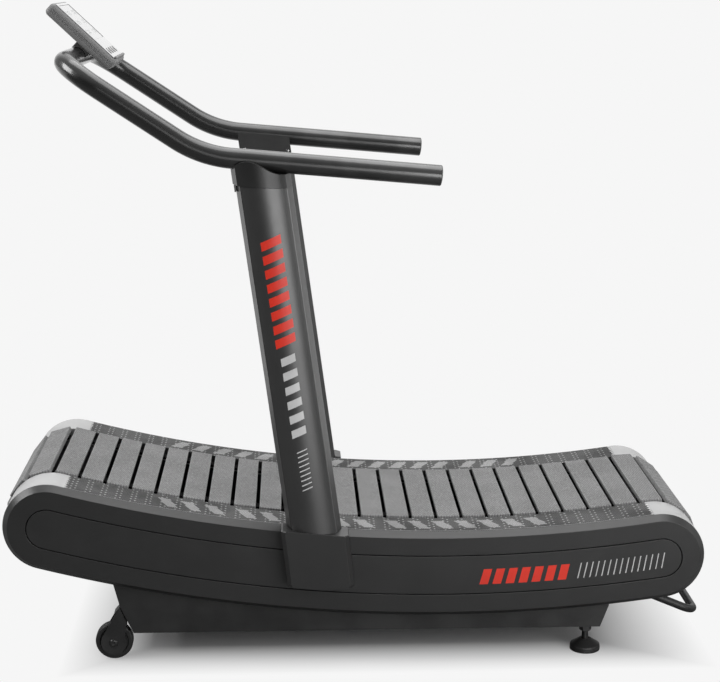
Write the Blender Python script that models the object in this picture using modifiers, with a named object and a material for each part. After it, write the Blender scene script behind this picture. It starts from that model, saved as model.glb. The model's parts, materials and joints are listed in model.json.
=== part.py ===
"""Curved manual treadmill.

Frame of the part: the floor is z = 0, the origin lies under the middle of the machine,
+X points to the rear, -Y is the machine's left side and +Z is up. All sizes are in metres.

Seen from the side, the body is a long oval bent along a shallow arc. Every outline that
follows it (cover, panel, foot rail, frame plate, belt) is the same oval at another half height.
"""

import math

import bmesh
import bpy
from mathutils import Matrix, Vector

# ---------------------------------------------------------------- driving dimensions
GAP = 0.0003                       # clearance between touching pieces
CENTRE_SHIFT = -0.0021414          # moves the machine so that x = 0 is the middle of its length

FRONT_END = (-0.775, 0.370)        # centre of the oval's front end, as x and z
REAR_END = (0.777, 0.275)          # centre of its rear end
SWEEP_RADIUS = 3.870               # radius of the arc that joins the two centres
BODY_HALF = 0.112                  # half height of the covers and foot rails
ARC_STEPS = 16                     # straight pieces along a long arc
END_STEPS = 8                      # straight pieces round an end

SLAT_LENGTH = 0.432                # across the machine
SLAT_WIDTH = 0.0562                # along the travel
SLAT_INNER = 0.1035                # half heights of a slat's underside and tread
SLAT_OUTER = 0.1165
SLATS_TOP = 23                     # one pitch apart along the top run
SLATS_END = 5                      # round each end
SLATS_BOTTOM = 24
BELT_INNER = 0.0985                # drive belt, as half heights
BELT_OUTER = 0.1045
BELT_Y = (0.150, 0.180)            # drive belt, distance from the middle plane
BELT_TRIM = 0.003                  # each group's belts end this far before the next group's
FIRST_SLAT = 0.0095                # first slat's distance past the start of its run

RAIL_Y = (0.2185, 0.3250)          # foot rail, inner and outer edge
RAIL_THICK = 0.004
SKIRT_THICK = 0.004                # inner wall of the foot rail, beside the belt
SKIRT_DEPTH = 0.085                # half height at its lower edge
RAIL_FROM = -0.730                 # foot rail between these x, end caps outside them
RAIL_TO = 0.757
CAP_TAIL = 0.015                   # end cap's length under the body, past the end's arc

COVER_RIM_Y = 0.3253               # where the cover's rim starts
COVER_FACE_Y = 0.3450
COVER_SKIN = 0.0030
COVER_BEVEL = 0.0145               # in-plane width of the rim's bevel
COVER_FLANGE_Y = 0.2970            # inner edge of the flange under the foot rail
PANEL_HALF = 0.0495                # half height of the flush panel
PANEL_GROOVE = 0.0016

PLATE_Y = (0.2840, 0.2900)         # frame side plate
PLATE_HALF = 0.100
TUB_BOTTOM = 0.072
PAN_THICK = 0.003
PAN_X = (-0.566, 0.630)
WALL_THICK = 0.007                 # tub's sloping end walls, measured along the travel
TUB_FRONT = ((-0.636, 0.270), (-0.603, 0.142), (-0.570, TUB_BOTTOM))
TUB_REAR = ((0.633, TUB_BOTTOM), (0.654, 0.128), (0.672, 0.200))
BOSS_X = (-0.160, -0.045)          # block behind each upright
BOSS_Z = (0.250, 0.330)
BOSS_Y = 0.3248
CROSS_TUBES_X = (-0.50, -0.10, 0.45)
CROSS_HALF = 0.030
CROSS_WALL = 0.004
FRAME_LAP = 0.001                  # how far crossing members run into the side plates

UPRIGHT_Y = 0.3255                 # flat inner face of the upright
UPRIGHT_DEPTH = 0.0715
UPRIGHT_HALF_WIDTH = 0.0675
UPRIGHT_WALL = 0.010               # straight part of the section's short sides
UPRIGHT_SKIN = 0.003
SHOULDER_INSET = 0.012             # where the section's flanks meet its arched outer side
SHOULDER_SHARE = 0.644
UPRIGHT_LEAN = math.radians(7.70)
UPRIGHT_REF = (-0.107, 0.370)      # a point on its centre line
UPRIGHT_Z = (0.2450, 1.2285)
UPRIGHT_TOP_SLOPE = math.radians(2.5)   # its top end falls this much towards the rear

HOUSING_Y = (0.3258, 0.3900, 0.4000)
HOUSING_TOP = ((-0.190, 0.3750), (-0.021, 0.3610))
HOUSING_TOP_LEAN = (0.1164, 0.1103)     # of its front and rear side
HOUSING_FOOT = ((-0.006, 0.2250), (-0.093, 0.2205), (-0.173, 0.2290))
HOUSING_DRAW = 0.010               # taper of its front and rear side at the outer face
HOUSING_POCKET_Z = 0.45

COLLAR_PROUD = 0.003
COLLAR_Z = 1.330
CREST_X = (-0.076, -0.028, 0.047)  # collar's outer top edge: start, crest and end, from the post's axis
CREST_DROP = (0.0012, 0.0255)      # least and greatest depth under the tube's centre line

TUBE_RADIUS = 0.0254
TUBE_WALL = 0.0025
TUBE_Y = 0.352
TUBE_END = (0.203, 1.252)          # x and z of the side rail's rear end
TUBE_KNEE = (-0.370, 1.3017)       # where the side rail starts to climb
TUBE_FRONT = (-0.700, 1.520)       # cross bar's centre line
KNEE_RADIUS = 0.29
CORNER_RADIUS = 0.105
SADDLE_GAP = 0.0014                # between the bar's facets and the saddles that hold it

CONSOLE_CENTRE = (-0.6766, 1.5742)
CONSOLE_TILT = math.radians(43.3)  # the face drops this much towards the runner
CONSOLE_SIZE = (0.213, 0.240, 0.0345)
CONSOLE_CORNER = 0.012
LENS_SIZE = (0.120, 0.200)
LENS_SHIFT = -0.030                # towards the top edge
BUTTON_RADIUS = 0.0100
BUTTON_SHIFT = 0.072               # towards the lower edge
BUTTON_Y = (-0.069, -0.023, 0.023, 0.069)
BUTTON_WELL = 0.0060
LENS_RECESS = 0.0025
LENS_THICK = 0.0019
BRACKET_SIZE = (-0.003, 0.040, 0.045)   # along the face from, to, and half across
BRACKET_DEPTH = 0.038

WHEEL_CENTRE = (-0.621, 0.048)
WHEEL_RADIUS = 0.048
WHEEL_Y = (0.2545, 0.2835)
EAR_THICK = 0.0045
EAR_RADIUS = 0.033
EAR_APEX = (-0.6045, 0.1430)
EAR_SHOULDER = (-0.5880, 0.1020)
EAR_OFFSET = (0.0008, 0.0069)      # gap between the wheel and its inner and outer ear
AXLE_RADIUS = 0.0060
BOLT_HEAD = (0.0105, 0.0050)       # radius and height

FOOT_X = 0.600
FOOT_Y = 0.2585
FOOT_RADIUS = 0.039
STUD_RADIUS = 0.0088
NUT_RADIUS = 0.0158
NUT_Z = (0.0520, 0.0712)

HANDLE_RADIUS = 0.0105
HANDLE_Y = 0.2692
HANDLE_LEG = (0.7120, 0.1745)
HANDLE_BAR = (0.8860, 0.1010)
HANDLE_CORNER = 0.040

SHAFT_RADIUS = 0.0125
SHAFT_SEAT = (0.0165, 0.2000)      # radius under the pulleys, and how far out it reaches
SHAFT_COLLAR = (0.0220, 0.2620)
SHAFT_END_Y = 0.3000
BEARING_RADIUS = 0.0260
BEARING_FLANGE = 0.0340
PULLEY_RADIUS = 0.0972
PULLEY_HUB = 0.030
PULLEY_RIM = 0.082                 # inner radius of the rim
PULLEY_WEB = 0.004                 # half thickness
PULLEY_Y = (0.148, 0.182)
GUIDE_Y = (0.158, 0.170)
GUIDE_HALF = (0.062, 0.092)
ROLLER_RADIUS = 0.011
ROLLER_WIDTH = 0.012
ROLLER_TOP = 0.0972
ROLLERS = 10
GUIDE_POST_HALF = 0.020
GUIDE_CLEARANCE = 0.020            # angle, in radians, left free at each end of the top run

# ---------------------------------------------------------------- derived from them
chord = Vector((REAR_END[0] - FRONT_END[0], REAR_END[1] - FRONT_END[1]))
chord_middle = Vector((REAR_END[0] + FRONT_END[0], REAR_END[1] + FRONT_END[1])) / 2
chord_normal = Vector((-chord.y, chord.x)).normalized()
sagitta_side = math.sqrt(SWEEP_RADIUS ** 2 - (chord.length / 2) ** 2)
SWEEP_CENTRE = tuple(chord_middle + chord_normal * sagitta_side)
ANGLE_FRONT = math.atan2(FRONT_END[0] - SWEEP_CENTRE[0], SWEEP_CENTRE[1] - FRONT_END[1])
ANGLE_REAR = math.atan2(REAR_END[0] - SWEEP_CENTRE[0], SWEEP_CENTRE[1] - REAR_END[1])
SWEEP_ANGLE = ANGLE_REAR - ANGLE_FRONT

# The top run holds SLATS_TOP pitches and a half turn holds SLATS_END pitches,
# which fixes the radius at which the slats turn round the ends.
PITCH_RADIUS = SLATS_END * SWEEP_RADIUS * SWEEP_ANGLE / (SLATS_TOP * math.pi + SLATS_END * SWEEP_ANGLE)
PITCH = math.pi * PITCH_RADIUS / SLATS_END


# ---------------------------------------------------------------- scene and materials
def clear_scene():
    for old in list(bpy.data.objects):
        bpy.data.objects.remove(old, do_unlink=True)


def new_collection(name):
    collection = bpy.data.collections.new(name)
    bpy.context.scene.collection.children.link(collection)
    return collection


def paint(obj, colour, roughness, metallic=0.0):
    """Give the object its own Principled material."""
    material = bpy.data.materials.new(obj.name + "_finish")
    material.use_nodes = True
    shader = material.node_tree.nodes["Principled BSDF"]
    shader.inputs["Base Color"].default_value = (*colour, 1.0)
    shader.inputs["Roughness"].default_value = roughness
    shader.inputs["Metallic"].default_value = metallic
    obj.data.materials.clear()
    obj.data.materials.append(material)
    return obj


def black_steel(obj):
    return paint(obj, (0.030, 0.030, 0.031), 0.45, 0.3)


def cover_plastic(obj):
    return paint(obj, (0.028, 0.028, 0.028), 0.50)


def grey_paint(obj):
    return paint(obj, (0.055, 0.056, 0.055), 0.36, 0.5)


def bare_steel(obj):
    return paint(obj, (0.45, 0.45, 0.46), 0.30, 1.0)


def rubber(obj):
    return paint(obj, (0.020, 0.020, 0.020), 0.75)


# ---------------------------------------------------------------- modelling helpers
def add_object(name, mesh, collection):
    obj = bpy.data.objects.new(name, mesh)
    collection.objects.link(obj)
    return obj


def remove_with_data(obj):
    data = obj.data
    bpy.data.objects.remove(obj, do_unlink=True)
    if isinstance(data, bpy.types.Curve):
        bpy.data.curves.remove(data)
    elif data.users == 0:
        bpy.data.meshes.remove(data)


def as_mesh(obj):
    """The object with its modifiers or its curve turned into one welded mesh."""
    bpy.context.view_layer.update()
    evaluated = obj.evaluated_get(bpy.context.evaluated_depsgraph_get())
    mesh = bpy.data.meshes.new_from_object(evaluated)
    bm = bmesh.new()
    bm.from_mesh(mesh)
    bmesh.ops.remove_doubles(bm, verts=bm.verts, dist=0.00002)
    bmesh.ops.recalc_face_normals(bm, faces=bm.faces)
    bm.to_mesh(mesh)
    bm.free()
    mesh.shade_smooth()
    mesh.set_sharp_from_angle(angle=math.radians(35))
    name = obj.name
    matrix = obj.matrix_world.copy()
    collection = obj.users_collection[0]
    remove_with_data(obj)
    result = add_object(name, mesh, collection)
    mesh.name = name
    result.matrix_world = matrix
    return result


def boolean(target, tool, operation):
    """Cut or join target with tool, and use the tool up."""
    modifier = target.modifiers.new(operation.lower(), "BOOLEAN")
    modifier.operation = operation
    modifier.object = tool
    modifier.solver = "EXACT"
    result = as_mesh(target)
    remove_with_data(tool)
    return result


def cut(target, tool):
    return boolean(target, tool, "DIFFERENCE")


def join(target, tool):
    return boolean(target, tool, "UNION")


def box(name, low, high, collection):
    bm = bmesh.new()
    bmesh.ops.create_cube(bm, size=1.0)
    size = Vector(high) - Vector(low)
    middle = (Vector(high) + Vector(low)) / 2
    bmesh.ops.scale(bm, vec=size, verts=bm.verts)
    bmesh.ops.translate(bm, vec=middle, verts=bm.verts)
    mesh = bpy.data.meshes.new(name)
    bm.to_mesh(mesh)
    bm.free()
    return add_object(name, mesh, collection)


def plate(name, outline, y_from, y_to, collection):
    """A flat plate: an outline in x and z, between two y."""
    curve = bpy.data.curves.new(name, "CURVE")
    curve.dimensions = "2D"
    curve.fill_mode = "BOTH"
    curve.extrude = abs(y_to - y_from) / 2
    spline = curve.splines.new("POLY")
    spline.points.add(len(outline) - 1)
    for point, (x, z) in zip(spline.points, outline):
        point.co = (x, z, 0.0, 1.0)
    spline.use_cyclic_u = True
    obj = add_object(name, curve, collection)
    obj.rotation_euler = (math.radians(90), 0.0, 0.0)
    obj.location = (0.0, (y_from + y_to) / 2, 0.0)
    return as_mesh(obj)


def pipe(name, points, radius, collection, resolution=2, capped=True):
    """A bent bar along a path of points."""
    curve = bpy.data.curves.new(name, "CURVE")
    curve.dimensions = "3D"
    curve.bevel_depth = radius
    curve.bevel_resolution = resolution
    curve.use_fill_caps = capped
    spline = curve.splines.new("POLY")
    spline.points.add(len(points) - 1)
    for point, place in zip(spline.points, points):
        point.co = (*place, 1.0)
    return as_mesh(add_object(name, curve, collection))


def turned(name, profile, segments, place, axis, collection):
    """A turned piece. The profile gives (radius, height) down its outer side; height runs along axis."""
    mesh = bpy.data.meshes.new(name)
    verts = [(radius, 0.0, height) for radius, height in profile]
    edges = [(index, index + 1) for index in range(len(profile) - 1)]
    if profile[0][0] > 0.0:
        edges.append((len(profile) - 1, 0))
    mesh.from_pydata(verts, edges, [])
    obj = add_object(name, mesh, collection)
    screw = obj.modifiers.new("turn", "SCREW")
    screw.axis = "Z"
    screw.steps = segments
    screw.render_steps = segments
    screw.use_merge_vertices = True
    screw.merge_threshold = 0.00001
    obj.rotation_euler = Vector(axis).to_track_quat("Z", "Y").to_euler()
    obj.location = place
    return as_mesh(obj)


def loft(name, rings, collection, hollow=False):
    """Skin between closed rings with equal numbers of points; hollow joins the last to the first."""
    bm = bmesh.new()
    loops = [[bm.verts.new(point) for point in ring] for ring in rings]
    pairs = list(zip(loops, loops[1:]))
    if hollow:
        pairs.append((loops[-1], loops[0]))
    count = len(rings[0])
    for first, second in pairs:
        for index in range(count):
            following = (index + 1) % count
            bm.faces.new((first[index], first[following], second[following], second[index]))
    if not hollow:
        bm.faces.new(loops[0])
        bm.faces.new(loops[-1])
    bmesh.ops.recalc_face_normals(bm, faces=bm.faces)
    mesh = bpy.data.meshes.new(name)
    bm.to_mesh(mesh)
    bm.free()
    mesh.shade_smooth()
    mesh.set_sharp_from_angle(angle=math.radians(30))
    return add_object(name, mesh, collection)


def set_origin(obj, place):
    """Move the object's origin to a point and leave its shape where it is."""
    offset = Vector(place)
    obj.data.transform(Matrix.Translation(-offset) @ obj.matrix_world)
    obj.matrix_world = Matrix.Translation(offset)
    return obj


# ---------------------------------------------------------------- outlines
def sweep_point(angle, half):
    """Point over the sweep arc: angle from straight down, half height above the middle arc."""
    radius = SWEEP_RADIUS - half
    return (SWEEP_CENTRE[0] + radius * math.sin(angle), SWEEP_CENTRE[1] - radius * math.cos(angle))


def sweep_angle_at(x, half):
    return math.asin((x - SWEEP_CENTRE[0]) / (SWEEP_RADIUS - half))


def sweep_arc(half, angle_from, angle_to, steps):
    span = angle_to - angle_from
    return [sweep_point(angle_from + span * step / steps, half) for step in range(steps + 1)]


def end_arc(centre, half, start, turn, steps):
    """Arc round an end's centre. Start is the direction's angle from +X towards +Z."""
    points = []
    for step in range(steps + 1):
        angle = start + turn * step / steps
        points.append((centre[0] + half * math.cos(angle), centre[1] + half * math.sin(angle)))
    return points


def oval(half):
    """The whole side outline at a half height."""
    quarter = math.pi / 2
    top = sweep_arc(half, ANGLE_FRONT, ANGLE_REAR, ARC_STEPS)
    rear = end_arc(REAR_END, half, ANGLE_REAR + quarter, -math.pi, END_STEPS)
    bottom = sweep_arc(-half, ANGLE_REAR, ANGLE_FRONT, ARC_STEPS)
    front = end_arc(FRONT_END, half, ANGLE_FRONT - quarter, -math.pi, END_STEPS)
    return top[:-1] + rear[:-1] + bottom[:-1] + front[:-1]


def band(outer, inner):
    """A closed outline between two open lines that run the same way."""
    return outer + inner[::-1]


def d_section(half_width, depth, wall, steps=10):
    """Upright's section: flat inner side, short walls, leaning flanks and an arched outer side."""
    shoulder = half_width - SHOULDER_INSET
    rise = (depth - wall) * (1 - SHOULDER_SHARE)
    radius = (shoulder ** 2 + rise ** 2) / (2 * rise)
    limit = math.asin(shoulder / radius)
    points = [(-half_width, 0.0), (-half_width, wall)]
    for step in range(steps + 1):
        angle = limit * (2 * step / steps - 1)
        points.append((radius * math.sin(angle), depth - radius * (1 - math.cos(angle))))
    points += [(half_width, wall), (half_width, 0.0)]
    return points


def rounded_path(corners, radii, steps):
    """Corner points joined by straight lines, with an arc at each inner corner."""
    points = [Vector(corners[0])]
    for before, corner, after, radius in zip(corners, corners[1:], corners[2:], radii):
        corner = Vector(corner)
        towards = (Vector(before) - corner).normalized()
        away = (Vector(after) - corner).normalized()
        half_angle = towards.angle(away) / 2
        bisector = (towards + away).normalized()
        centre = corner + bisector * (radius / math.sin(half_angle))
        start = corner + towards * (radius / math.tan(half_angle)) - centre
        finish = corner + away * (radius / math.tan(half_angle)) - centre
        turn = start.angle(finish)
        for step in range(steps + 1):
            blend = step / steps
            weight = math.sin((1 - blend) * turn), math.sin(blend * turn)
            points.append(centre + (start * weight[0] + finish * weight[1]) / math.sin(turn))
    points.append(Vector(corners[-1]))
    return points


# ---------------------------------------------------------------- running belt
def top_run():
    return {"centre": SWEEP_CENTRE, "radius": SWEEP_RADIUS - PITCH_RADIUS, "outward": -1,
            "start": ANGLE_FRONT - math.pi / 2, "turn": SWEEP_ANGLE, "slats": SLATS_TOP, "steps": SLATS_TOP}


def bottom_run():
    return {"centre": SWEEP_CENTRE, "radius": SWEEP_RADIUS + PITCH_RADIUS, "outward": 1,
            "start": ANGLE_REAR - math.pi / 2, "turn": -SWEEP_ANGLE, "slats": SLATS_BOTTOM,
            "steps": SLATS_BOTTOM}


def rear_wrap():
    return {"centre": REAR_END, "radius": PITCH_RADIUS, "outward": 1,
            "start": ANGLE_REAR + math.pi / 2, "turn": -math.pi, "slats": SLATS_END, "steps": 20}


def front_wrap():
    return {"centre": FRONT_END, "radius": PITCH_RADIUS, "outward": 1,
            "start": ANGLE_FRONT - math.pi / 2, "turn": -math.pi, "slats": SLATS_END, "steps": 20}


def slat(run, index, collection):
    """One slat: a bar across the machine, tangent to the run at its place."""
    pitch_angle = run["turn"] / run["slats"]
    direction = math.copysign(1.0, run["turn"])
    angle = run["start"] + direction * FIRST_SLAT / run["radius"] + index * pitch_angle
    low = (SLAT_INNER - PITCH_RADIUS) * run["outward"] + run["radius"]
    high = (SLAT_OUTER - PITCH_RADIUS) * run["outward"] + run["radius"]
    half_width = SLAT_WIDTH / 2
    half_length = SLAT_LENGTH / 2
    bar = box("slat", (min(low, high), -half_length, -half_width),
              (max(low, high), half_length, half_width), collection)
    bar.matrix_world = (Matrix.Translation((run["centre"][0], 0.0, run["centre"][1]))
                        @ Matrix.Rotation(-angle, 4, "Y"))
    return bar


def belt_group(name, run, collection):
    """The slats of one run, joined by the two drive belts beneath them."""
    slats = [slat(run, index, collection) for index in range(run["slats"])]
    inner = run["radius"] + (BELT_INNER - PITCH_RADIUS) * run["outward"]
    outer = run["radius"] + (BELT_OUTER - PITCH_RADIUS) * run["outward"]
    direction = math.copysign(1.0, run["turn"])
    trim = direction * BELT_TRIM / run["radius"]
    lead = direction * (FIRST_SLAT - PITCH / 2) / run["radius"]
    start = run["start"] + lead + trim
    turn = run["turn"] - 2 * trim
    outline = band(end_arc(run["centre"], outer, start, turn, run["steps"]),
                   end_arc(run["centre"], inner, start, turn, run["steps"]))
    left = plate(name, outline, -BELT_Y[1], -BELT_Y[0], collection)
    right = plate(name + "_right", outline, BELT_Y[0], BELT_Y[1], collection)
    group = join(left, right)
    for bar in slats:
        group = join(group, bar)
    group.name = name
    set_origin(group, (run["centre"][0], 0.0, run["centre"][1]))
    return rubber(group)


# ---------------------------------------------------------------- body: covers, rails, caps
def ring(half, y):
    return [(x, y, z) for x, z in oval(half)]


def upright_axis_x(z):
    return UPRIGHT_REF[0] - (z - UPRIGHT_REF[1]) * math.tan(UPRIGHT_LEAN)


def housing_outline(grow=0.0, lift=0.0):
    """The shroud's outline from the side; lift stretches its leaning sides upwards."""
    front, rear = HOUSING_TOP
    low_rear, low_middle, low_front = HOUSING_FOOT
    return [(front[0] - grow - HOUSING_TOP_LEAN[0] * lift, front[1] + lift),
            (rear[0] + grow - HOUSING_TOP_LEAN[1] * lift, rear[1] + lift),
            (low_rear[0] + grow, low_rear[1] - grow),
            (low_middle[0], low_middle[1] - grow),
            (low_front[0] - grow, low_front[1] - grow)]


def side_cover(name, side, collection):
    """Thin shell: bevelled rim, flat face with an oval opening, and a flange under the foot rail."""
    opening = PANEL_HALF + PANEL_GROOVE
    section = [(opening, COVER_FACE_Y), (BODY_HALF - COVER_BEVEL, COVER_FACE_Y),
               (BODY_HALF, COVER_RIM_Y), (BODY_HALF - RAIL_THICK - 0.0004, COVER_RIM_Y),
               (BODY_HALF - RAIL_THICK - 0.0004, COVER_FLANGE_Y),
               (BODY_HALF - RAIL_THICK - COVER_SKIN, COVER_FLANGE_Y),
               (BODY_HALF - RAIL_THICK - COVER_SKIN, COVER_RIM_Y - 0.0015),
               (BODY_HALF - COVER_BEVEL - 0.0020, COVER_FACE_Y - COVER_SKIN),
               (opening, COVER_FACE_Y - COVER_SKIN)]
    cover = loft(name, [ring(half, side * y) for half, y in section], collection, hollow=True)
    notch = plate("notch", housing_outline(0.0004, 0.06), side * COVER_RIM_Y - side * 0.0001,
                  side * (COVER_FACE_Y + 0.01), collection)
    return cover_plastic(cut(cover, notch))


def side_panel(name, side, collection):
    """Flush panel inside the cover's oval opening, with a small chamfer."""
    section = [(PANEL_HALF, COVER_FACE_Y - 0.0040), (PANEL_HALF, COVER_FACE_Y - 0.0008),
               (PANEL_HALF - 0.0008, COVER_FACE_Y)]
    panel = loft(name, [ring(half, side * y) for half, y in section], collection)
    notch = plate("notch", housing_outline(0.0004, 0.06), side * (COVER_FACE_Y - 0.01),
                  side * (COVER_FACE_Y + 0.01), collection)
    return cover_plastic(cut(panel, notch))


def angled(name, line, side, collection):
    """Foot rail or end cap: a curved strip with an inner wall, along one line of half heights."""
    strip = plate(name, band(line(BODY_HALF), line(BODY_HALF - RAIL_THICK)),
                  side * RAIL_Y[0], side * RAIL_Y[1], collection)
    wall = plate("wall", band(line(BODY_HALF - RAIL_THICK / 2), line(SKIRT_DEPTH)),
                 side * RAIL_Y[0], side * (RAIL_Y[0] + SKIRT_THICK), collection)
    return join(strip, wall)


def foot_rail(name, side, collection):
    def line(half):
        start = sweep_angle_at(RAIL_FROM, BODY_HALF) + GAP / SWEEP_RADIUS
        finish = sweep_angle_at(RAIL_TO, BODY_HALF) - GAP / SWEEP_RADIUS
        return sweep_arc(half, start, finish, ARC_STEPS)
    return rubber(angled(name, line, side, collection))


def end_cap_front(name, side, collection):
    def line(half):
        start = sweep_angle_at(RAIL_FROM, BODY_HALF)
        tail = ANGLE_FRONT + CAP_TAIL / SWEEP_RADIUS
        turn = end_arc(FRONT_END, half, ANGLE_FRONT + math.pi / 2, math.pi, END_STEPS)
        return sweep_arc(half, start, ANGLE_FRONT, 1)[:-1] + turn + sweep_arc(-half, ANGLE_FRONT, tail, 1)[1:]
    return paint(angled(name, line, side, collection), (0.42, 0.42, 0.42), 0.45, 0.4)


def end_cap_rear(name, side, collection):
    def line(half):
        start = sweep_angle_at(RAIL_TO, BODY_HALF)
        tail = ANGLE_REAR - CAP_TAIL / SWEEP_RADIUS
        turn = end_arc(REAR_END, half, ANGLE_REAR + math.pi / 2, -math.pi, END_STEPS)
        return sweep_arc(half, start, ANGLE_REAR, 1)[:-1] + turn + sweep_arc(-half, ANGLE_REAR, tail, 1)[1:]
    return paint(angled(name, line, side, collection), (0.42, 0.42, 0.42), 0.45, 0.4)


# ---------------------------------------------------------------- frame and running gear
def cross_tube_z(x):
    return sweep_point(sweep_angle_at(x, 0.0), 0.0)[1]


def crossing(name, x_range, z_range, collection):
    """A member that runs from one side plate into the other."""
    reach = PLATE_Y[0] + FRAME_LAP
    return box(name, (x_range[0], -reach, z_range[0]), (x_range[1], reach, z_range[1]), collection)


def frame_hole(frame, radius, place, axis, collection):
    """Drill a round hole through one plate of the frame."""
    depth = 0.02
    hole = turned("hole", [(0.0, depth), (radius, depth), (radius, -depth), (0.0, -depth)], 24,
                  place, axis, collection)
    return cut(frame, hole)


def base_frame(collection):
    """Two side plates and a shallow tub, tied by cross tubes, with a boss for each upright."""
    tub = [*TUB_FRONT, *TUB_REAR]
    frame = crossing("base_frame", PAN_X, (TUB_BOTTOM, TUB_BOTTOM + PAN_THICK), collection)
    for side in (-1, 1):
        y_from, y_to = side * PLATE_Y[0], side * PLATE_Y[1]
        side_plate = plate("side_plate", oval(PLATE_HALF), y_from, y_to, collection)
        frame = join(frame, join(side_plate, plate("tub_side", tub, y_from, y_to, collection)))
        boss = box("boss", (BOSS_X[0], min(y_from, side * BOSS_Y), BOSS_Z[0]),
                   (BOSS_X[1], max(y_from, side * BOSS_Y), BOSS_Z[1]), collection)
        frame = join(frame, boss)
    reach = PLATE_Y[0] + FRAME_LAP
    for line, thick in ((TUB_FRONT[1:], WALL_THICK), (TUB_REAR[:2], -WALL_THICK)):
        wall = band(list(line), [(x + thick, z) for x, z in line])
        frame = join(frame, plate("wall", wall, -reach, reach, collection))
    for x in CROSS_TUBES_X:
        z = cross_tube_z(x)
        frame = join(frame, crossing("cross_tube", (x - CROSS_HALF, x + CROSS_HALF),
                                     (z - CROSS_HALF, z + CROSS_HALF), collection))
        bore = CROSS_HALF - CROSS_WALL
        frame = cut(frame, box("bore", (x - bore, -BOSS_Y, z - bore), (x + bore, BOSS_Y, z + bore),
                               collection))
    for side in (-1, 1):
        for centre in (FRONT_END, REAR_END):
            frame = frame_hole(frame, BEARING_RADIUS + GAP, (centre[0], side * PLATE_Y[0], centre[1]),
                               (0, 1, 0), collection)
        frame = frame_hole(frame, STUD_RADIUS + 0.0006, (FOOT_X, side * FOOT_Y, TUB_BOTTOM),
                           (0, 0, 1), collection)
    frame.name = "base_frame"
    return black_steel(frame)


def shaft(name, centre, collection):
    """Stepped axle: journals at the ends, a collar inside each, and the pulleys' seat between."""
    half = [(0.0, SHAFT_END_Y), (SHAFT_RADIUS, SHAFT_END_Y), (SHAFT_RADIUS, SHAFT_COLLAR[1]), SHAFT_COLLAR,
            (SHAFT_COLLAR[0], SHAFT_SEAT[1]), SHAFT_SEAT]
    profile = half + [(radius, -height) for radius, height in reversed(half)]
    piece = turned(name, profile, 16, (centre[0], 0.0, centre[1]), (0, 1, 0), collection)
    return bare_steel(piece)


def pulley(name, centre, side, collection):
    """Belt pulley: hub, thin web and deep rim."""
    half = (PULLEY_Y[1] - PULLEY_Y[0]) / 2
    bore = SHAFT_SEAT[0] + GAP
    profile = [(bore, half), (PULLEY_HUB, half), (PULLEY_HUB, PULLEY_WEB), (PULLEY_RIM, PULLEY_WEB),
               (PULLEY_RIM, half), (PULLEY_RADIUS, half), (PULLEY_RADIUS, -half), (bore, -half)]
    place = (centre[0], side * (PULLEY_Y[0] + PULLEY_Y[1]) / 2, centre[1])
    return paint(turned(name, profile, 20, place, (0, side, 0), collection), (0.10, 0.10, 0.10), 0.5)


def shaft_bearing(name, centre, side, collection):
    """Flanged bearing that sits in the side plate's hole."""
    bore = SHAFT_RADIUS + GAP
    profile = [(bore, 0.0060), (BEARING_RADIUS, 0.0060), (BEARING_RADIUS, -0.0083), (BEARING_FLANGE, -0.0083),
               (BEARING_FLANGE, -0.0120), (bore, -0.0120)]
    place = (centre[0], side * (PLATE_Y[0] + 0.008), centre[1])
    return bare_steel(turned(name, profile, 20, place, (0, side, 0), collection))


def guide_rail(name, side, collection):
    """Curved rail under one drive belt, with bearing rollers along its outer side."""
    start = ANGLE_FRONT + GUIDE_CLEARANCE
    finish = ANGLE_REAR - GUIDE_CLEARANCE
    outline = band(sweep_arc(GUIDE_HALF[1], start, finish, ARC_STEPS),
                   sweep_arc(GUIDE_HALF[0], start, finish, ARC_STEPS))
    rail = plate(name, outline, side * GUIDE_Y[0], side * GUIDE_Y[1], collection)
    for index in range(ROLLERS):
        angle = start + (finish - start) * (index + 0.5) / ROLLERS
        x, z = sweep_point(angle, ROLLER_TOP - ROLLER_RADIUS)
        half = ROLLER_WIDTH / 2
        roller = turned("roller", [(0.0, half), (ROLLER_RADIUS, half), (ROLLER_RADIUS, -half),
                                   (0.0, -half)], 8,
                        (x, side * (GUIDE_Y[1] + half - 0.001), z), (0, 1, 0), collection)
        rail = join(rail, roller)
    lap = 0.008
    near, far = sorted(side * y for y in GUIDE_Y)
    for x in CROSS_TUBES_X:
        z = cross_tube_z(x)
        post = box("post", (x - GUIDE_POST_HALF, near, z + CROSS_HALF + GAP),
                   (x + GUIDE_POST_HALF, far, z + GUIDE_HALF[0] + lap), collection)
        rail = join(rail, post)
    rail.name = name
    return bare_steel(rail)


# ---------------------------------------------------------------- uprights and handlebar
def upright_ring(section, side, z, top_end=False):
    """A section of the upright at a height, square to its axis or along its sloping top end."""
    along = Vector((-math.sin(UPRIGHT_LEAN), 0.0, math.cos(UPRIGHT_LEAN)))
    across = Vector((math.cos(UPRIGHT_LEAN), 0.0, math.sin(UPRIGHT_LEAN)))
    if top_end:
        across -= along * math.tan(UPRIGHT_LEAN + UPRIGHT_TOP_SLOPE)
    middle = Vector((upright_axis_x(z), side * UPRIGHT_Y, z))
    return [middle + across * x + Vector((0.0, side * y, 0.0)) for x, y in section]


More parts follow.
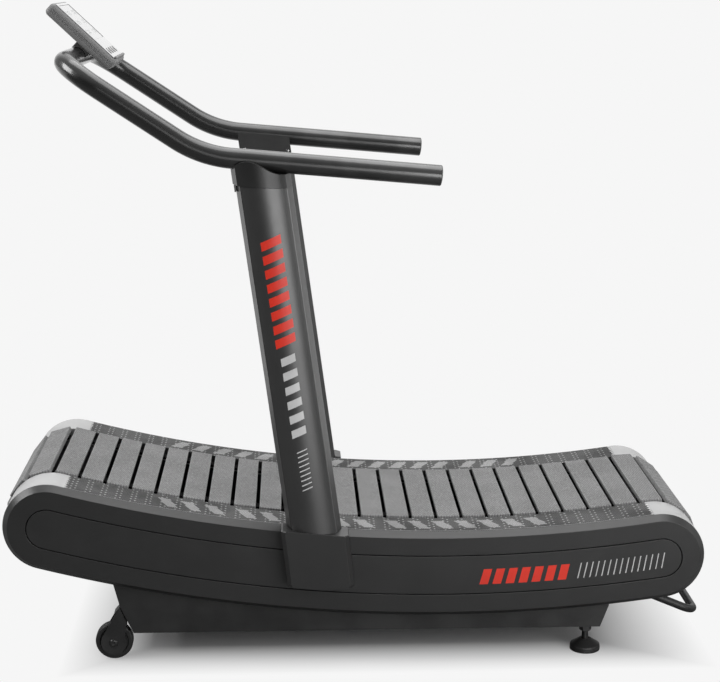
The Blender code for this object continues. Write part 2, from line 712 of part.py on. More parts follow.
def upright(name, side, collection):
    """Hollow post, open at both ends."""
    outer = d_section(UPRIGHT_HALF_WIDTH, UPRIGHT_DEPTH, UPRIGHT_WALL)
    inner = [(x, y + UPRIGHT_SKIN) for x, y in d_section(
        UPRIGHT_HALF_WIDTH - UPRIGHT_SKIN, UPRIGHT_DEPTH - 2 * UPRIGHT_SKIN, UPRIGHT_WALL - UPRIGHT_SKIN)]
    low, high = UPRIGHT_Z
    rings = [upright_ring(outer, side, low), upright_ring(outer, side, high, top_end=True),
             upright_ring(inner, side, high, top_end=True), upright_ring(inner, side, low)]
    return grey_paint(loft(name, rings, collection, hollow=True))


def upright_housing(name, side, collection):
    """Shroud round the foot of the upright, chamfered at its outer corners."""
    full = housing_outline()
    draws = (HOUSING_DRAW, -HOUSING_DRAW, -HOUSING_DRAW, 0.0, HOUSING_DRAW)
    drawn_in = [(x + draw, z) for (x, z), draw in zip(full, draws)]
    rings = [[(x, side * y, z) for x, z in outline]
             for outline, y in zip((full, full, drawn_in), HOUSING_Y)]
    shroud = loft(name, rings, collection)
    behind = 0.01
    section = d_section(UPRIGHT_HALF_WIDTH + GAP, UPRIGHT_DEPTH + GAP + behind, UPRIGHT_WALL + behind)
    section = [(x, y - behind) for x, y in section]
    pocket = loft("pocket", [upright_ring(section, side, z) for z in (UPRIGHT_Z[0] - GAP, HOUSING_POCKET_Z)],
                  collection)
    return cover_plastic(cut(shroud, pocket))


def tube_path():
    """Centre line of the handlebar, from its left rear end round to its right rear end."""
    line = (TUBE_END, TUBE_KNEE, TUBE_FRONT)
    corners = [(x, -TUBE_Y, z) for x, z in line] + [(x, TUBE_Y, z) for x, z in reversed(line)]
    return rounded_path(corners, (KNEE_RADIUS, CORNER_RADIUS, CORNER_RADIUS, KNEE_RADIUS), 5)


def handlebar(name, collection):
    """One bent tube with an open bore."""
    tube = pipe(name, tube_path(), TUBE_RADIUS, collection, resolution=4, capped=False)
    wall = tube.modifiers.new("wall", "SOLIDIFY")
    wall.thickness = TUBE_WALL
    wall.offset = -1.0
    return grey_paint(as_mesh(tube))


def end_plug(name, side, collection):
    """Plug with a shallow domed head and a spigot inside the tube."""
    spigot = TUBE_RADIUS - TUBE_WALL - 0.0012
    slope = Vector((TUBE_END[0] - TUBE_KNEE[0], 0.0, TUBE_END[1] - TUBE_KNEE[1])).normalized()
    profile = [(0.0, 0.0040), (0.0190, 0.0034), (0.0248, 0.0012), (0.0248, GAP),
               (spigot, GAP), (spigot, -0.0200), (0.0, -0.0200)]
    place = (TUBE_END[0], side * TUBE_Y, TUBE_END[1])
    return rubber(turned(name, profile, 16, place, slope, collection))


def tube_z(x):
    """Height of the side rail's straight part."""
    slope = (TUBE_KNEE[1] - TUBE_END[1]) / (TUBE_KNEE[0] - TUBE_END[0])
    return TUBE_END[1] + slope * (x - TUBE_END[0])


def crest_depth(x):
    """Depth of the collar's outer top edge under the tube's centre line, at x from the post's axis."""
    start, crest, end = CREST_X
    least, greatest = CREST_DROP
    if x < crest:
        share = max(0.0, (x - start) / (crest - start))
        return greatest - (greatest - least) * math.sin(share * math.pi / 2)
    share = min(1.0, (x - crest) / (end - crest))
    return least + (greatest - least) * (1 - math.cos(share * math.pi)) / 2


def handlebar_collar(name, side, collection):
    """Saddle between post and handlebar: its outer side rises to a crest in front of the tube."""
    section = [(x - COLLAR_PROUD, y) for x, y in
               d_section(UPRIGHT_HALF_WIDTH + COLLAR_PROUD, UPRIGHT_DEPTH + 0.001, UPRIGHT_WALL)]
    collar = loft(name, [upright_ring(section, side, UPRIGHT_Z[1] + GAP, top_end=True),
                         upright_ring(section, side, COLLAR_Z)], collection)
    ends = (-0.45, 0.05)
    high = COLLAR_Z + 0.12
    above = [(x, tube_z(x)) for x in ends] + [(ends[1], high), (ends[0], high)]
    collar = cut(collar, plate("above", above, side * 0.25, side * 0.45, collection))
    middle = upright_axis_x(tube_z(upright_axis_x(UPRIGHT_Z[1])))
    steps = 16
    places = [-0.10 + 0.20 * step / steps for step in range(steps + 1)]
    crest = [(middle + x, tube_z(middle + x) - crest_depth(x)) for x in places]
    over = crest + [(middle + places[-1], high), (middle + places[0], high)]
    collar = cut(collar, plate("over_crest", over, side * TUBE_Y, side * 0.45, collection))
    rail = pipe("rail", [(x, side * TUBE_Y, tube_z(x)) for x in ends], TUBE_RADIUS + SADDLE_GAP,
                collection, resolution=4)
    return grey_paint(cut(collar, rail))


# ---------------------------------------------------------------- console
def console_matrix(along=0.0, across=0.0, out=0.0):
    """Place on the console: along the face towards the runner, across it, and out of the face."""
    turn = Matrix.Rotation(CONSOLE_TILT, 4, "Y")
    centre = Matrix.Translation((CONSOLE_CENTRE[0], 0.0, CONSOLE_CENTRE[1]))
    return centre @ turn @ Matrix.Translation((along, across, out))


def console_block(name, size, low, high, bevel, collection):
    """A slab on the console, between two heights out of its face, with rounded edges."""
    block = box(name, (-size[0] / 2, -size[1] / 2, low), (size[0] / 2, size[1] / 2, high), collection)
    if bevel:
        rounding = block.modifiers.new("rounding", "BEVEL")
        rounding.width = bevel
        rounding.segments = 2
        block = as_mesh(block)
    return block


def console_housing(name, collection):
    half = CONSOLE_SIZE[2] / 2
    shell = console_block(name, CONSOLE_SIZE, -half, half, CONSOLE_CORNER, collection)
    reach = LENS_SIZE[0] / 2 + GAP
    recess = box("recess", (LENS_SHIFT - reach, -LENS_SIZE[1] / 2 - GAP, half - LENS_RECESS),
                 (LENS_SHIFT + reach, LENS_SIZE[1] / 2 + GAP, half + 0.01), collection)
    shell = cut(shell, recess)
    bore = BUTTON_RADIUS + 0.0004
    for y in BUTTON_Y:
        well = turned("well", [(0.0, 0.01), (bore, 0.01), (bore, -BUTTON_WELL), (0.0, -BUTTON_WELL)], 20,
                      (BUTTON_SHIFT, y, half), (0, 0, 1), collection)
        shell = cut(shell, well)
    shell.matrix_world = console_matrix()
    shell.name = name
    return cover_plastic(shell)


def console_lens(name, collection):
    half = CONSOLE_SIZE[2] / 2
    low = half - LENS_RECESS + GAP
    lens = console_block(name, LENS_SIZE, low, low + LENS_THICK, 0.0, collection)
    lens.matrix_world = console_matrix(along=LENS_SHIFT)
    return paint(lens, (0.01, 0.012, 0.014), 0.08)


def console_button(name, y, collection):
    profile = [(0.0, 0.0017), (0.0070, 0.0015), (BUTTON_RADIUS, 0.0008), (BUTTON_RADIUS, -0.0040),
               (0.0, -0.0040)]
    button = turned(name, profile, 20, (0, 0, 0), (0, 0, 1), collection)
    button.matrix_world = console_matrix(BUTTON_SHIFT, y, CONSOLE_SIZE[2] / 2)
    return paint(button, (0.30, 0.30, 0.30), 0.5)


def console_bracket(name, collection):
    """Block between the cross bar and the console's back, hollowed to fit the bar."""
    start, finish, half_across = BRACKET_SIZE
    back = -CONSOLE_SIZE[2] / 2
    block = box(name, (start, -half_across, back - BRACKET_DEPTH), (finish, half_across, back - GAP),
                collection)
    block.matrix_world = console_matrix()
    bar = pipe("bar", [(TUBE_FRONT[0], y, TUBE_FRONT[1]) for y in (-0.1, 0.1)],
               TUBE_RADIUS + SADDLE_GAP, collection, resolution=4)
    return black_steel(cut(block, bar))


# ---------------------------------------------------------------- wheels, feet, lift handle
def transport_wheel(name, side, collection):
    half = (WHEEL_Y[1] - WHEEL_Y[0]) / 2
    bore = AXLE_RADIUS + GAP
    profile = [(bore, half), (0.015, half), (0.017, half - 0.004), (0.037, half - 0.004),
               (0.038, half - 0.001), (WHEEL_RADIUS, half - 0.003), (WHEEL_RADIUS, 0.001 - half),
               (bore, -half)]
    place = (WHEEL_CENTRE[0], side * (WHEEL_Y[0] + WHEEL_Y[1]) / 2, WHEEL_CENTRE[1])
    return rubber(turned(name, profile, 20, place, (0, side, 0), collection))


def fork_faces():
    """Inner ear's outer face and outer ear's inner face, as distances from the middle plane."""
    return WHEEL_Y[0] - EAR_OFFSET[0], WHEEL_Y[1] + EAR_OFFSET[1]


def wheel_bracket(name, side, collection):
    """Fork: a teardrop ear on each side of the wheel, joined by a bridge on the frame's front edge."""
    inner, outer = fork_faces()
    ear = [EAR_APEX, *end_arc(WHEEL_CENTRE, EAR_RADIUS, math.radians(150), math.radians(240), 12),
           EAR_SHOULDER]
    bridge = [(-0.6045, 0.1420), (-0.6190, 0.1250), (-0.6050, 0.1040), (-0.5880, 0.1040)]
    fork = plate(name, ear, side * outer, side * (outer + EAR_THICK), collection)
    fork = join(fork, plate("inner_ear", ear, side * (inner - EAR_THICK), side * inner, collection))
    fork = join(fork, plate("bridge", bridge, side * (inner - 0.001), side * (outer + 0.001), collection))
    bore = AXLE_RADIUS + GAP
    hole = turned("hole", [(0.0, 0.05), (bore, 0.05), (bore, -0.05), (0.0, -0.05)], 16,
                  (WHEEL_CENTRE[0], side * WHEEL_Y[0], WHEEL_CENTRE[1]), (0, 1, 0), collection)
    fork = cut(fork, hole)
    front_edge = [(-0.6035, 0.1500), (-0.6035, 0.1420), (-0.5705, TUB_BOTTOM - GAP),
                  (-0.52, TUB_BOTTOM - GAP), (-0.52, 0.1500)]
    inside = plate("inside", front_edge, side * 0.20, side * (PLATE_Y[1] + GAP), collection)
    return black_steel(cut(fork, inside))


def wheel_bolt(name, side, collection):
    """Axle bolt through both ears, with a round head outside."""
    inner, outer = fork_faces()
    under_head = outer + EAR_THICK + GAP
    length = under_head - (inner - EAR_THICK - 0.004)
    radius, height = BOLT_HEAD
    profile = [(0.0, height), (radius - 0.002, height - 0.0005), (radius, height / 2), (radius, 0.0),
               (AXLE_RADIUS, 0.0), (AXLE_RADIUS, -length), (0.0, -length)]
    place = (WHEEL_CENTRE[0], side * under_head, WHEEL_CENTRE[1])
    return bare_steel(turned(name, profile, 16, place, (0, side, 0), collection))


def foot_pad(name, side, collection):
    """Rubber-rimmed pad with a cone and a socket for the stud."""
    socket = STUD_RADIUS + 0.0022
    profile = [(0.0, 0.0160), (socket, 0.0160), (socket, 0.0300), (0.0150, 0.0300), (0.0175, 0.0280),
               (0.0335, 0.0178), (FOOT_RADIUS, 0.0145), (FOOT_RADIUS, 0.0), (0.0, 0.0)]
    return rubber(turned(name, profile, 20, (FOOT_X, side * FOOT_Y, 0.0), (0, 0, 1), collection))


def foot_stud(name, side, collection):
    """Threaded stud: it stands in the pad's socket and passes through the tub's floor."""
    profile = [(0.0, 0.1120), (STUD_RADIUS - 0.001, 0.1120), (STUD_RADIUS, 0.1100), (STUD_RADIUS, 0.0220),
               (STUD_RADIUS + 0.0018, 0.0210), (STUD_RADIUS + 0.0018, 0.0163), (0.0, 0.0163)]
    return bare_steel(turned(name, profile, 16, (FOOT_X, side * FOOT_Y, 0.0), (0, 0, 1), collection))


def foot_nut(name, side, collection):
    """Hexagonal lock nut against the tub's floor."""
    bore = STUD_RADIUS + 0.0006
    middle = (NUT_Z[0] + NUT_Z[1]) / 2
    half = (NUT_Z[1] - NUT_Z[0]) / 2
    nut = turned(name, [(0.0, half), (NUT_RADIUS, half), (NUT_RADIUS, -half), (0.0, -half)], 6,
                 (FOOT_X, side * FOOT_Y, middle), (0, 0, 1), collection)
    hole = turned("hole", [(0.0, 0.02), (bore, 0.02), (bore, -0.02), (0.0, -0.02)], 16,
                  (FOOT_X, side * FOOT_Y, middle), (0, 0, 1), collection)
    return bare_steel(cut(nut, hole))


def lift_handle(name, collection):
    """Bent bar fixed inside the side plates; its middle stands out behind the machine."""
    corners = [(HANDLE_LEG[0], -HANDLE_Y, HANDLE_LEG[1]), (HANDLE_BAR[0], -HANDLE_Y, HANDLE_BAR[1]),
               (HANDLE_BAR[0], HANDLE_Y, HANDLE_BAR[1]), (HANDLE_LEG[0], HANDLE_Y, HANDLE_LEG[1])]
    path = rounded_path(corners, (HANDLE_CORNER, HANDLE_CORNER), 5)
    return black_steel(pipe(name, path, HANDLE_RADIUS, collection, resolution=3))


# ---------------------------------------------------------------- assembly
def centre_along_length(collection):
    """Hang every part on one empty, which shifts the machine to its middle."""
    machine = bpy.data.objects.new("machine", None)
    for part in list(collection.objects):
        part.parent = machine
    collection.objects.link(machine)
    machine.location = (CENTRE_SHIFT, 0.0, 0.0)


def build():
    clear_scene()
    parts = new_collection("curved_manual_treadmill")
    base_frame(parts)
    for run_name, run in (("belt_top_run", top_run()), ("belt_bottom_run", bottom_run()),
                          ("belt_front_wrap", front_wrap()), ("belt_rear_wrap", rear_wrap())):
        belt_group(run_name, run, parts)
    for place, centre in (("front", FRONT_END), ("rear", REAR_END)):
        shaft(place + "_shaft", centre, parts)
    handlebar("handlebar", parts)
    console_housing("console_housing", parts)
    console_lens("console_lens", parts)
    console_bracket("console_bracket", parts)
    for number, y in enumerate(BUTTON_Y, start=1):
        console_button("console_button_%d" % number, y, parts)
    lift_handle("lift_handle", parts)
    for hand, side in (("left", -1), ("right", 1)):
        side_cover("side_cover_" + hand, side, parts)
        side_panel("side_panel_" + hand, side, parts)
        foot_rail("foot_rail_" + hand, side, parts)
        end_cap_front("end_cap_front_" + hand, side, parts)
        end_cap_rear("end_cap_rear_" + hand, side, parts)
        upright("upright_" + hand, side, parts)
        upright_housing("upright_housing_" + hand, side, parts)
        handlebar_collar("handlebar_collar_" + hand, side, parts)
        end_plug("handlebar_plug_" + hand, side, parts)
        transport_wheel("transport_wheel_" + hand, side, parts)
        wheel_bracket("wheel_bracket_" + hand, side, parts)
        wheel_bolt("wheel_bolt_" + hand, side, parts)
        foot_pad("foot_pad_" + hand, side, parts)
        foot_stud("foot_stud_" + hand, side, parts)
        foot_nut("foot_nut_" + hand, side, parts)
        guide_rail("guide_rail_" + hand, side, parts)
        for place, centre in (("front", FRONT_END), ("rear", REAR_END)):
            pulley("%s_pulley_%s" % (place, hand), centre, side, parts)
            shaft_bearing("%s_bearing_%s" % (place, hand), centre, side, parts)
    centre_along_length(parts)


build()
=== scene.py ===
"""Looks of a curved manual treadmill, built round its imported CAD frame.

Seen from the side, the body is a long oval bent along a shallow arc. Covers, foot rails, end caps
and belt all follow that oval, so most outlines here are a section swept along it. Sizes are in metres.
"""

import itertools
import json
import math

import bmesh
import bpy
from mathutils import Matrix, Vector


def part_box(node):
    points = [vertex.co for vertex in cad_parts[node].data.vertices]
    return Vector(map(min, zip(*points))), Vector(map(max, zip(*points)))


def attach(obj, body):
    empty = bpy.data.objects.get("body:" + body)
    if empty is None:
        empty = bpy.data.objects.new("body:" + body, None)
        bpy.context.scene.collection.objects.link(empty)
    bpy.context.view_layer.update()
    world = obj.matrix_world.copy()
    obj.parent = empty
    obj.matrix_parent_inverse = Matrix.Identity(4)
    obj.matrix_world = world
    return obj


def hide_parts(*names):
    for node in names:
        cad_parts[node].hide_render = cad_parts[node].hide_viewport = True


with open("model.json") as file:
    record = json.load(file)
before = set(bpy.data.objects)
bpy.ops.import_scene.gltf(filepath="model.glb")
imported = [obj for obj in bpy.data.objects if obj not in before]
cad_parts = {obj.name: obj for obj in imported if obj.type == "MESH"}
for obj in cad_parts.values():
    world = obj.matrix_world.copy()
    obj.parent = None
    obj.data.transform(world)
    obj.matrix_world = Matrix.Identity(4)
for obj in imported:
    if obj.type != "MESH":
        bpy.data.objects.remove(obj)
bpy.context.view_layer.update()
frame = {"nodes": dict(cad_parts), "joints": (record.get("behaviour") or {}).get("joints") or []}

SIDES = (("left", -1), ("right", 1))
Y_AXIS = Vector((0.0, 1.0, 0.0))
Z_AXIS = Vector((0.0, 0.0, 1.0))

# ---- fine dimensions
GAP = 0.0003                  # clearance between pieces that touch
ARC_STEPS = 110               # along the sweep
END_STEPS = 30                # round one end

SLATS_TOP = 23                # pitches along the top run, round an end and along the bottom run
SLATS_END = 5
SLATS_BOTTOM = 24
SLAT_WIDTH = 0.0562
SLAT_HEIGHT = 0.013
SLAT_INNER = 0.1035           # half height of a slat's underside
FIRST_SLAT = 0.0095           # first slat's distance past the start of its run
SLAT_EDGE = 0.0022            # rounding along a slat's tread
SLAT_RIBS = 19
RIB_HEIGHT = 0.0004
BELT_HALF = (0.0985, 0.1045)  # drive belt's inner and outer face, as half heights
BELT_Y = (0.150, 0.180)
BELT_TRIM = 0.003
BELT_RIBS = 5

MARKS_FROM = 0.222            # printed bars on the foot rails, along the rail
MARK_GROUPS = (7, 6, 3)       # from the front on one rail, from the rear on the other
MARK_PERIOD = 0.0600
MARK_WIDTH = 0.0300
MARK_SLANT = 0.045            # per full width of the rail
MARK_SHARE = (0.22, 0.80)     # of the rail's width

RAIL_THICK = 0.004
SKIRT_THICK = 0.004
NUB_PITCH = 0.00544           # hexagonal nubs of the foot rail's tread
NUB_RADIUS = 0.0024
NUB_HEIGHT = 0.0006
DOT_COLUMNS = 7               # nubs from one staggered double column of light dots to the next
DOT_LINES = 4
CAP_TEETH = 7                 # zigzag between end cap and foot rail
CAP_TAIL = 0.015              # the caps' reach along the body's underside
COVER_BEVEL = 0.0145
PANEL_GROOVE = 0.0009         # widens the joint round the panel
COVER_SKIN = 0.0030
NOTCH_PLAY = 0.01             # how far the housing's notch is cut past the panel's faces

UPRIGHT_HALF = 0.0675
UPRIGHT_LEAN = math.radians(7.70)
UPRIGHT_TOP_SLOPE = math.radians(2.5)   # the top end falls this much towards the rear
UPRIGHT_WALL = 0.010          # straight part of the section's short sides
SHOULDER_INSET = 0.012        # where the section's flanks meet its arched outer side
SHOULDER_SHARE = 0.644
SEAM_WIDTH = 0.0018           # groove along each shoulder
SEAM_DEPTH = 0.0016
COLLAR_PROUD = 0.003
PRINT_SLANT = 0.30            # rise of a printed bar per unit across
PRINT_LIFT = 0.00005
CREST_X = (-0.076, -0.028, 0.047)       # collar's outer top edge, from the post's axis
CREST_DROP = (0.0012, 0.0255)           # its depth under the tube's centre line

TUBE_RADIUS = 0.0254
TUBE_WALL = 0.0025
KNEE_FROM_FRONT = Vector((0.330, 0.0, -0.2183))
KNEE_RADIUS = 0.29
CORNER_RADIUS = 0.105

LIFT_RADIUS = 0.0105
LIFT_LEG = Vector((-0.174, 0.0, 0.0735))        # from the lift handle's bar up to the body

CONSOLE_TILT = math.radians(43.3)
CONSOLE_SIZE = (0.213, 0.240, 0.0345)
CONSOLE_CORNER = 0.012
RIB_INSET = 0.0012            # grooves round the monitor's edge
WINDOW_LENGTH = 0.120
LENS_SHIFT = -0.030           # along the face
BUTTON_SHIFT = 0.072
BUTTON_WELL = 0.0104
BUTTONS = (1, 2, 3, 4)


# ---- what the frame says
def joint_place(name):
    return Vector(next(joint["pos_m"] for joint in frame["joints"] if joint["name"] == name))


def middle_of(node):
    low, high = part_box(node)
    return (low + high) / 2


def sweep_angle(place):
    return math.atan2(place.x - SWEEP.x, SWEEP.z - place.z)


def spoke(angle):
    """Direction at an angle from +X towards +Z."""
    return Vector((math.cos(angle), 0.0, math.sin(angle)))


def outward_at(angle):
    """Direction out of the body's top at a sweep angle."""
    return Vector((-math.sin(angle), 0.0, math.cos(angle)))


SWEEP = joint_place("belt_travel")
FRONT = joint_place("belt_front_turn")
REAR = joint_place("belt_rear_turn")
SWEEP_RADIUS = (FRONT - SWEEP).length
ANGLE_FRONT = sweep_angle(FRONT)
ANGLE_REAR = sweep_angle(REAR)
SWEEP_ANGLE = ANGLE_REAR - ANGLE_FRONT
QUARTER = math.pi / 2
POST_ACROSS = spoke(UPRIGHT_LEAN)


def half_at(place):
    """Distance of a place from the sweep arc between the two end centres."""
    angle = sweep_angle(place)
    if ANGLE_FRONT <= angle <= ANGLE_REAR:
        return abs(SWEEP_RADIUS - math.hypot(place.x - SWEEP.x, place.z - SWEEP.z))
    centre = FRONT if angle < ANGLE_FRONT else REAR
    return math.hypot(place.x - centre.x, place.z - centre.z)


def halves(node):
    """A CAD node's least and greatest half height."""
    found = [half_at(vertex.co) for vertex in frame["nodes"][node].data.vertices]
    return min(found), max(found)


# ---- shader nodes
def add(tree, kind, sockets=None, **settings):
    """A shader node with its settings, and its inputs set or linked."""
    node = tree.nodes.new(kind)
    for key, value in settings.items():
        setattr(node, key, value)
    for key, value in (sockets or {}).items():
        if isinstance(value, bpy.types.NodeSocket):
            tree.links.new(value, node.inputs[key])
        else:
            node.inputs[key].default_value = value
    return node


def math_node(tree, operation, first, second=0.0):
    return add(tree, "ShaderNodeMath", {0: first, 1: second}, operation=operation).outputs[0]


def spread(tree, value, low, high, start=0.0, finish=1.0):
    """The value's range from low to high, stretched to start and finish."""
    return add(tree, "ShaderNodeMapRange", {"Value": value, "From Min": low, "From Max": high,
                                            "To Min": start, "To Max": finish}).outputs[0]


def blend_colour(tree, share, first, second):
    node = add(tree, "ShaderNodeMix", data_type="RGBA")
    sockets = node.inputs[0], node.inputs[6], node.inputs[7]
    for socket, value in zip(sockets, (share, first, second)):
        if isinstance(value, bpy.types.NodeSocket):
            tree.links.new(value, socket)
        else:
            socket.default_value = value
    return node.outputs[2]


def noise(tree, place, scale, detail=3.0):
    return add(tree, "ShaderNodeTexNoise", {"Vector": place, "Scale": scale, "Detail": detail}).outputs["Fac"]


def stretched(tree, place, factors):
    return add(tree, "ShaderNodeVectorMath", {0: place, 1: factors}, operation="MULTIPLY").outputs[0]


def grain_bumps(tree, place, size):
    """Rounded pebbles of a moulded or powder-coated skin."""
    cells = add(tree, "ShaderNodeTexVoronoi", {"Vector": place, "Scale": 1.0 / size}, feature="SMOOTH_F1")
    return math_node(tree, "ADD", cells.outputs["Distance"], noise(tree, place, 0.6 / size))


def weave(tree, place, pitches):
    """Grid of crossing threads."""
    parts = add(tree, "ShaderNodeSeparateXYZ", {0: place})
    waves = [math_node(tree, "SINE", math_node(tree, "MULTIPLY", parts.outputs[axis], 2 * math.pi / pitch))
             for axis, pitch in enumerate(pitches)]
    return spread(tree, math_node(tree, "MULTIPLY", *waves), -1.0, 1.0)


def shaded(colour, factor):
    return tuple(min(1.0, part * factor) for part in colour) + (1.0,)


def worn_share(tree, patches, wear):
    """How far the colour is rubbed pale: only on convex edges, and in patches."""
    edges = add(tree, "ShaderNodeNewGeometry").outputs["Pointiness"]
    rubbed = math_node(tree, "MULTIPLY", spread(tree, edges, 0.515, 0.60), spread(tree, patches, 0.40, 0.60))
    return math_node(tree, "MULTIPLY", rubbed, wear)


def surface(name, colour, roughness, metallic=0.0, grain=0.0006, bump=0.00006, mottle=0.12, wear=0.5,
            specular=0.5, pattern=None, coat=0.0, stretch=None, speck=0.35, speck_scale=420.0):
    """A finish with colour mottling, uneven gloss, fine relief and paler worn edges. One number is a grey."""
    if isinstance(colour, float):
        colour = (colour, colour, colour)
    material = bpy.data.materials.new(name)
    material.use_nodes = True
    tree = material.node_tree
    shader = tree.nodes["Principled BSDF"]
    place = add(tree, "ShaderNodeTexCoord").outputs["Object"]
    if stretch:
        place = stretched(tree, place, stretch)
    patches = noise(tree, place, 9.0, 5.0)
    tone = math_node(tree, "ADD", math_node(tree, "MULTIPLY", patches, 1.0 - speck),
                     math_node(tree, "MULTIPLY", noise(tree, place, speck_scale, 2.0), speck))
    body_colour = blend_colour(tree, spread(tree, tone, 0.30, 0.70), shaded(colour, 1.0 - mottle),
                               shaded(colour, 1.0 + mottle))
    relief = grain_bumps(tree, place, grain)
    if pattern:
        threads = pattern(tree)
        relief = math_node(tree, "ADD", math_node(tree, "MULTIPLY", threads, 2.0), relief)
        body_colour = blend_colour(tree, spread(tree, threads, 0.30, 0.62, 0.62, 0.0), body_colour,
                                   shaded(colour, 0.40))
    gloss = spread(tree, noise(tree, place, 60.0, 4.0), 0.25, 0.75, roughness * 0.93, roughness * 1.07)
    bumps = add(tree, "ShaderNodeBump", {"Height": relief, "Distance": bump, "Strength": 1.0})
    body_colour = blend_colour(tree, worn_share(tree, patches, wear), body_colour, shaded(colour, 2.6))
    for socket, value in (("Base Color", body_colour), ("Roughness", gloss), ("Normal", bumps.outputs[0])):
        tree.links.new(value, shader.inputs[socket])
    for socket, value in (("Metallic", metallic), ("Specular IOR Level", specular), ("Coat Weight", coat),
                          ("Coat Roughness", 0.12)):
        shader.inputs[socket].default_value = value
    return material


def slat_weave(tree):
    """Threads of the slat's tread, laid out on each slat's own length and width."""
    place = add(tree, "ShaderNodeAttribute", attribute_name="slat_place").outputs["Vector"]
    return weave(tree, place, (0.0070, 0.0140))


def make_finishes():
    """Each finish by name, with the record's material slot that it belongs to."""
    powder = {"grain": 0.0009, "mottle": 0.06}
    return {
        "cover": (surface("cover_plastic", 0.016, 0.37, specular=0.55, bump=0.00002), "cover_plastic"),
        "console": (surface("console_plastic", 0.150, 0.55, grain=0.0008, bump=0.00002), "console_plastic"),
        "tread": (surface("tread_rubber", 0.072, 0.72, specular=0.2), "foot_tread"),
        # strip between the nubs: same rubber made much darker than the nubs, as painted shade between them
        "tread_base_painted_shade": (surface("tread_rubber_with_painted_shade", 0.018, 0.78, specular=0.2), "foot_tread"),
        "tread_light": (surface("tread_print", 0.25, 0.70, wear=0.2), "foot_tread"),
        "cap": (surface("end_cap_paint", 0.37, 0.42, metallic=0.25, grain=0.0016, bump=0.00003, wear=0.3,
                        mottle=0.04), "end_cap_paint"),
        "post": (surface("post_powder_coat", 0.080, 0.38, metallic=0.78, grain=0.0009, bump=0.000008,
                         mottle=0.03, wear=0.04), "post_paint"),
        "tube": (surface("tube_powder_coat", 0.042, 0.30, metallic=0.80, bump=0.000002, coat=0.5, **powder),
                 "post_paint"),
        "collar": (surface("collar_powder_coat", 0.028, 0.36, metallic=0.50, bump=0.000005, **powder),
                   "post_paint"),
        "frame": (surface("frame_powder_coat", 0.016, 0.45, metallic=0.2, grain=0.0010), "frame_paint"),
        "slat": (surface("slat_rubber", 0.205, 0.72, specular=0.25, bump=0.00018, pattern=slat_weave,
                         mottle=0.45, wear=0.15, speck=0.85, speck_scale=240.0), "slat_rubber"),
        # drive belts: black rubber, pushed near black as painted shade in the gaps between slats
        "belt": (surface("belt_rubber_painted_shade", 0.003, 0.80, grain=0.0005, specular=0.05, wear=0.1), "slat_rubber"),
        "steel": (surface("turned_steel", 0.50, 0.28, metallic=1.0, grain=0.0012, bump=0.00002,
                          stretch=(1.0, 0.08, 1.0)), "steel"),
        "dark_steel": (surface("black_oxide_steel", 0.075, 0.34, metallic=0.9, bump=0.00001), "dark_steel"),
        "plug": (surface("plug_plastic", 0.085, 0.50), "plug_plastic"),
        "wheel": (surface("wheel_rubber", 0.014, 0.50, bump=0.00005), "wheel_rubber"),
        "nylon": (surface("pulley_nylon", 0.09, 0.48), "pulley_nylon"),
        "lens": (surface("smoked_lens", (0.010, 0.011, 0.013), 0.10, bump=0.000004, coat=0.8, wear=0.1),
                 "lens"),
        "button": (surface("button_rubber", 0.20, 0.50, coat=0.6), "button_rubber"),
        "red": (surface("red_ink", (0.60, 0.022, 0.008), 0.45, wear=0.1, mottle=0.06), "post_paint"),
        "pale": (surface("pale_ink", 0.465, 0.45, wear=0.1, mottle=0.06), "post_paint"),
        "digits": (surface("display_segments", (0.30, 0.33, 0.32), 0.12, bump=0.000004, wear=0.1, coat=0.9),
                   "lens"),
    }


FINISHES = make_finishes()


# ---- building pieces
def shade(obj, sharp):
    """Smooth shading with sharp edges kept, and normals weighted towards the large faces."""
    obj.data.shade_smooth()
    obj.data.set_sharp_from_angle(angle=math.radians(sharp))
    weighted = obj.modifiers.new("weighted_normals", "WEIGHTED_NORMAL")
    weighted.keep_sharp = True


def object_from(name, bm):
    bmesh.ops.remove_doubles(bm, verts=bm.verts, dist=0.000002)
    bmesh.ops.recalc_face_normals(bm, faces=bm.faces)
    mesh = bpy.data.meshes.new(name)
    bm.to_mesh(mesh)
    bm.free()
    obj = bpy.data.objects.new(name, mesh)
    bpy.context.scene.collection.objects.link(obj)
    return obj


def add_grid(bm, rows, wrap_rows=False, wrap_columns=False, cap_rows=False, cap_columns=False):
    """Skin over a grid of points. Caps close the first and last row or column."""
    grid = [[bm.verts.new(point) for point in row] for row in rows]
    row_pairs = list(zip(grid, grid[1:]))
    if wrap_rows:
        row_pairs.append((grid[-1], grid[0]))
    width = len(grid[0])
    for first, second in row_pairs:
        for index in range(width if wrap_columns else width - 1):
            following = (index + 1) % width
            bm.faces.new((first[index], first[following], second[following], second[index]))
    if cap_rows:
        bm.faces.new(grid[0])
        bm.faces.new(reversed(grid[-1]))
    if cap_columns:
        bm.faces.new([row[0] for row in grid])
        bm.faces.new([row[-1] for row in reversed(grid)])


def grid_object(name, rows, **options):
    bm = bmesh.new()
    add_grid(bm, rows, **options)
    return object_from(name, bm)


def solid_object(name, rows):
    """A solid along closed outlines, with its first and last outline filled."""
    return grid_object(name, rows, wrap_columns=True, cap_rows=True)


def ring_object(name, rows):
    """A closed ring of closed outlines."""
    return grid_object(name, rows, wrap_rows=True, wrap_columns=True)


def place_piece(obj, finish, *nodes, body="machine", sharp=32.0):
    """Shade the piece, give it its finish, hang it on a body and let it stand for CAD nodes."""
    if sharp:
        shade(obj, sharp)
    material, slot = FINISHES[finish]
    if not obj.data.materials:
        obj.data.materials.append(material)
    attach(obj, body)
    if nodes:
        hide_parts(*nodes)
    return obj


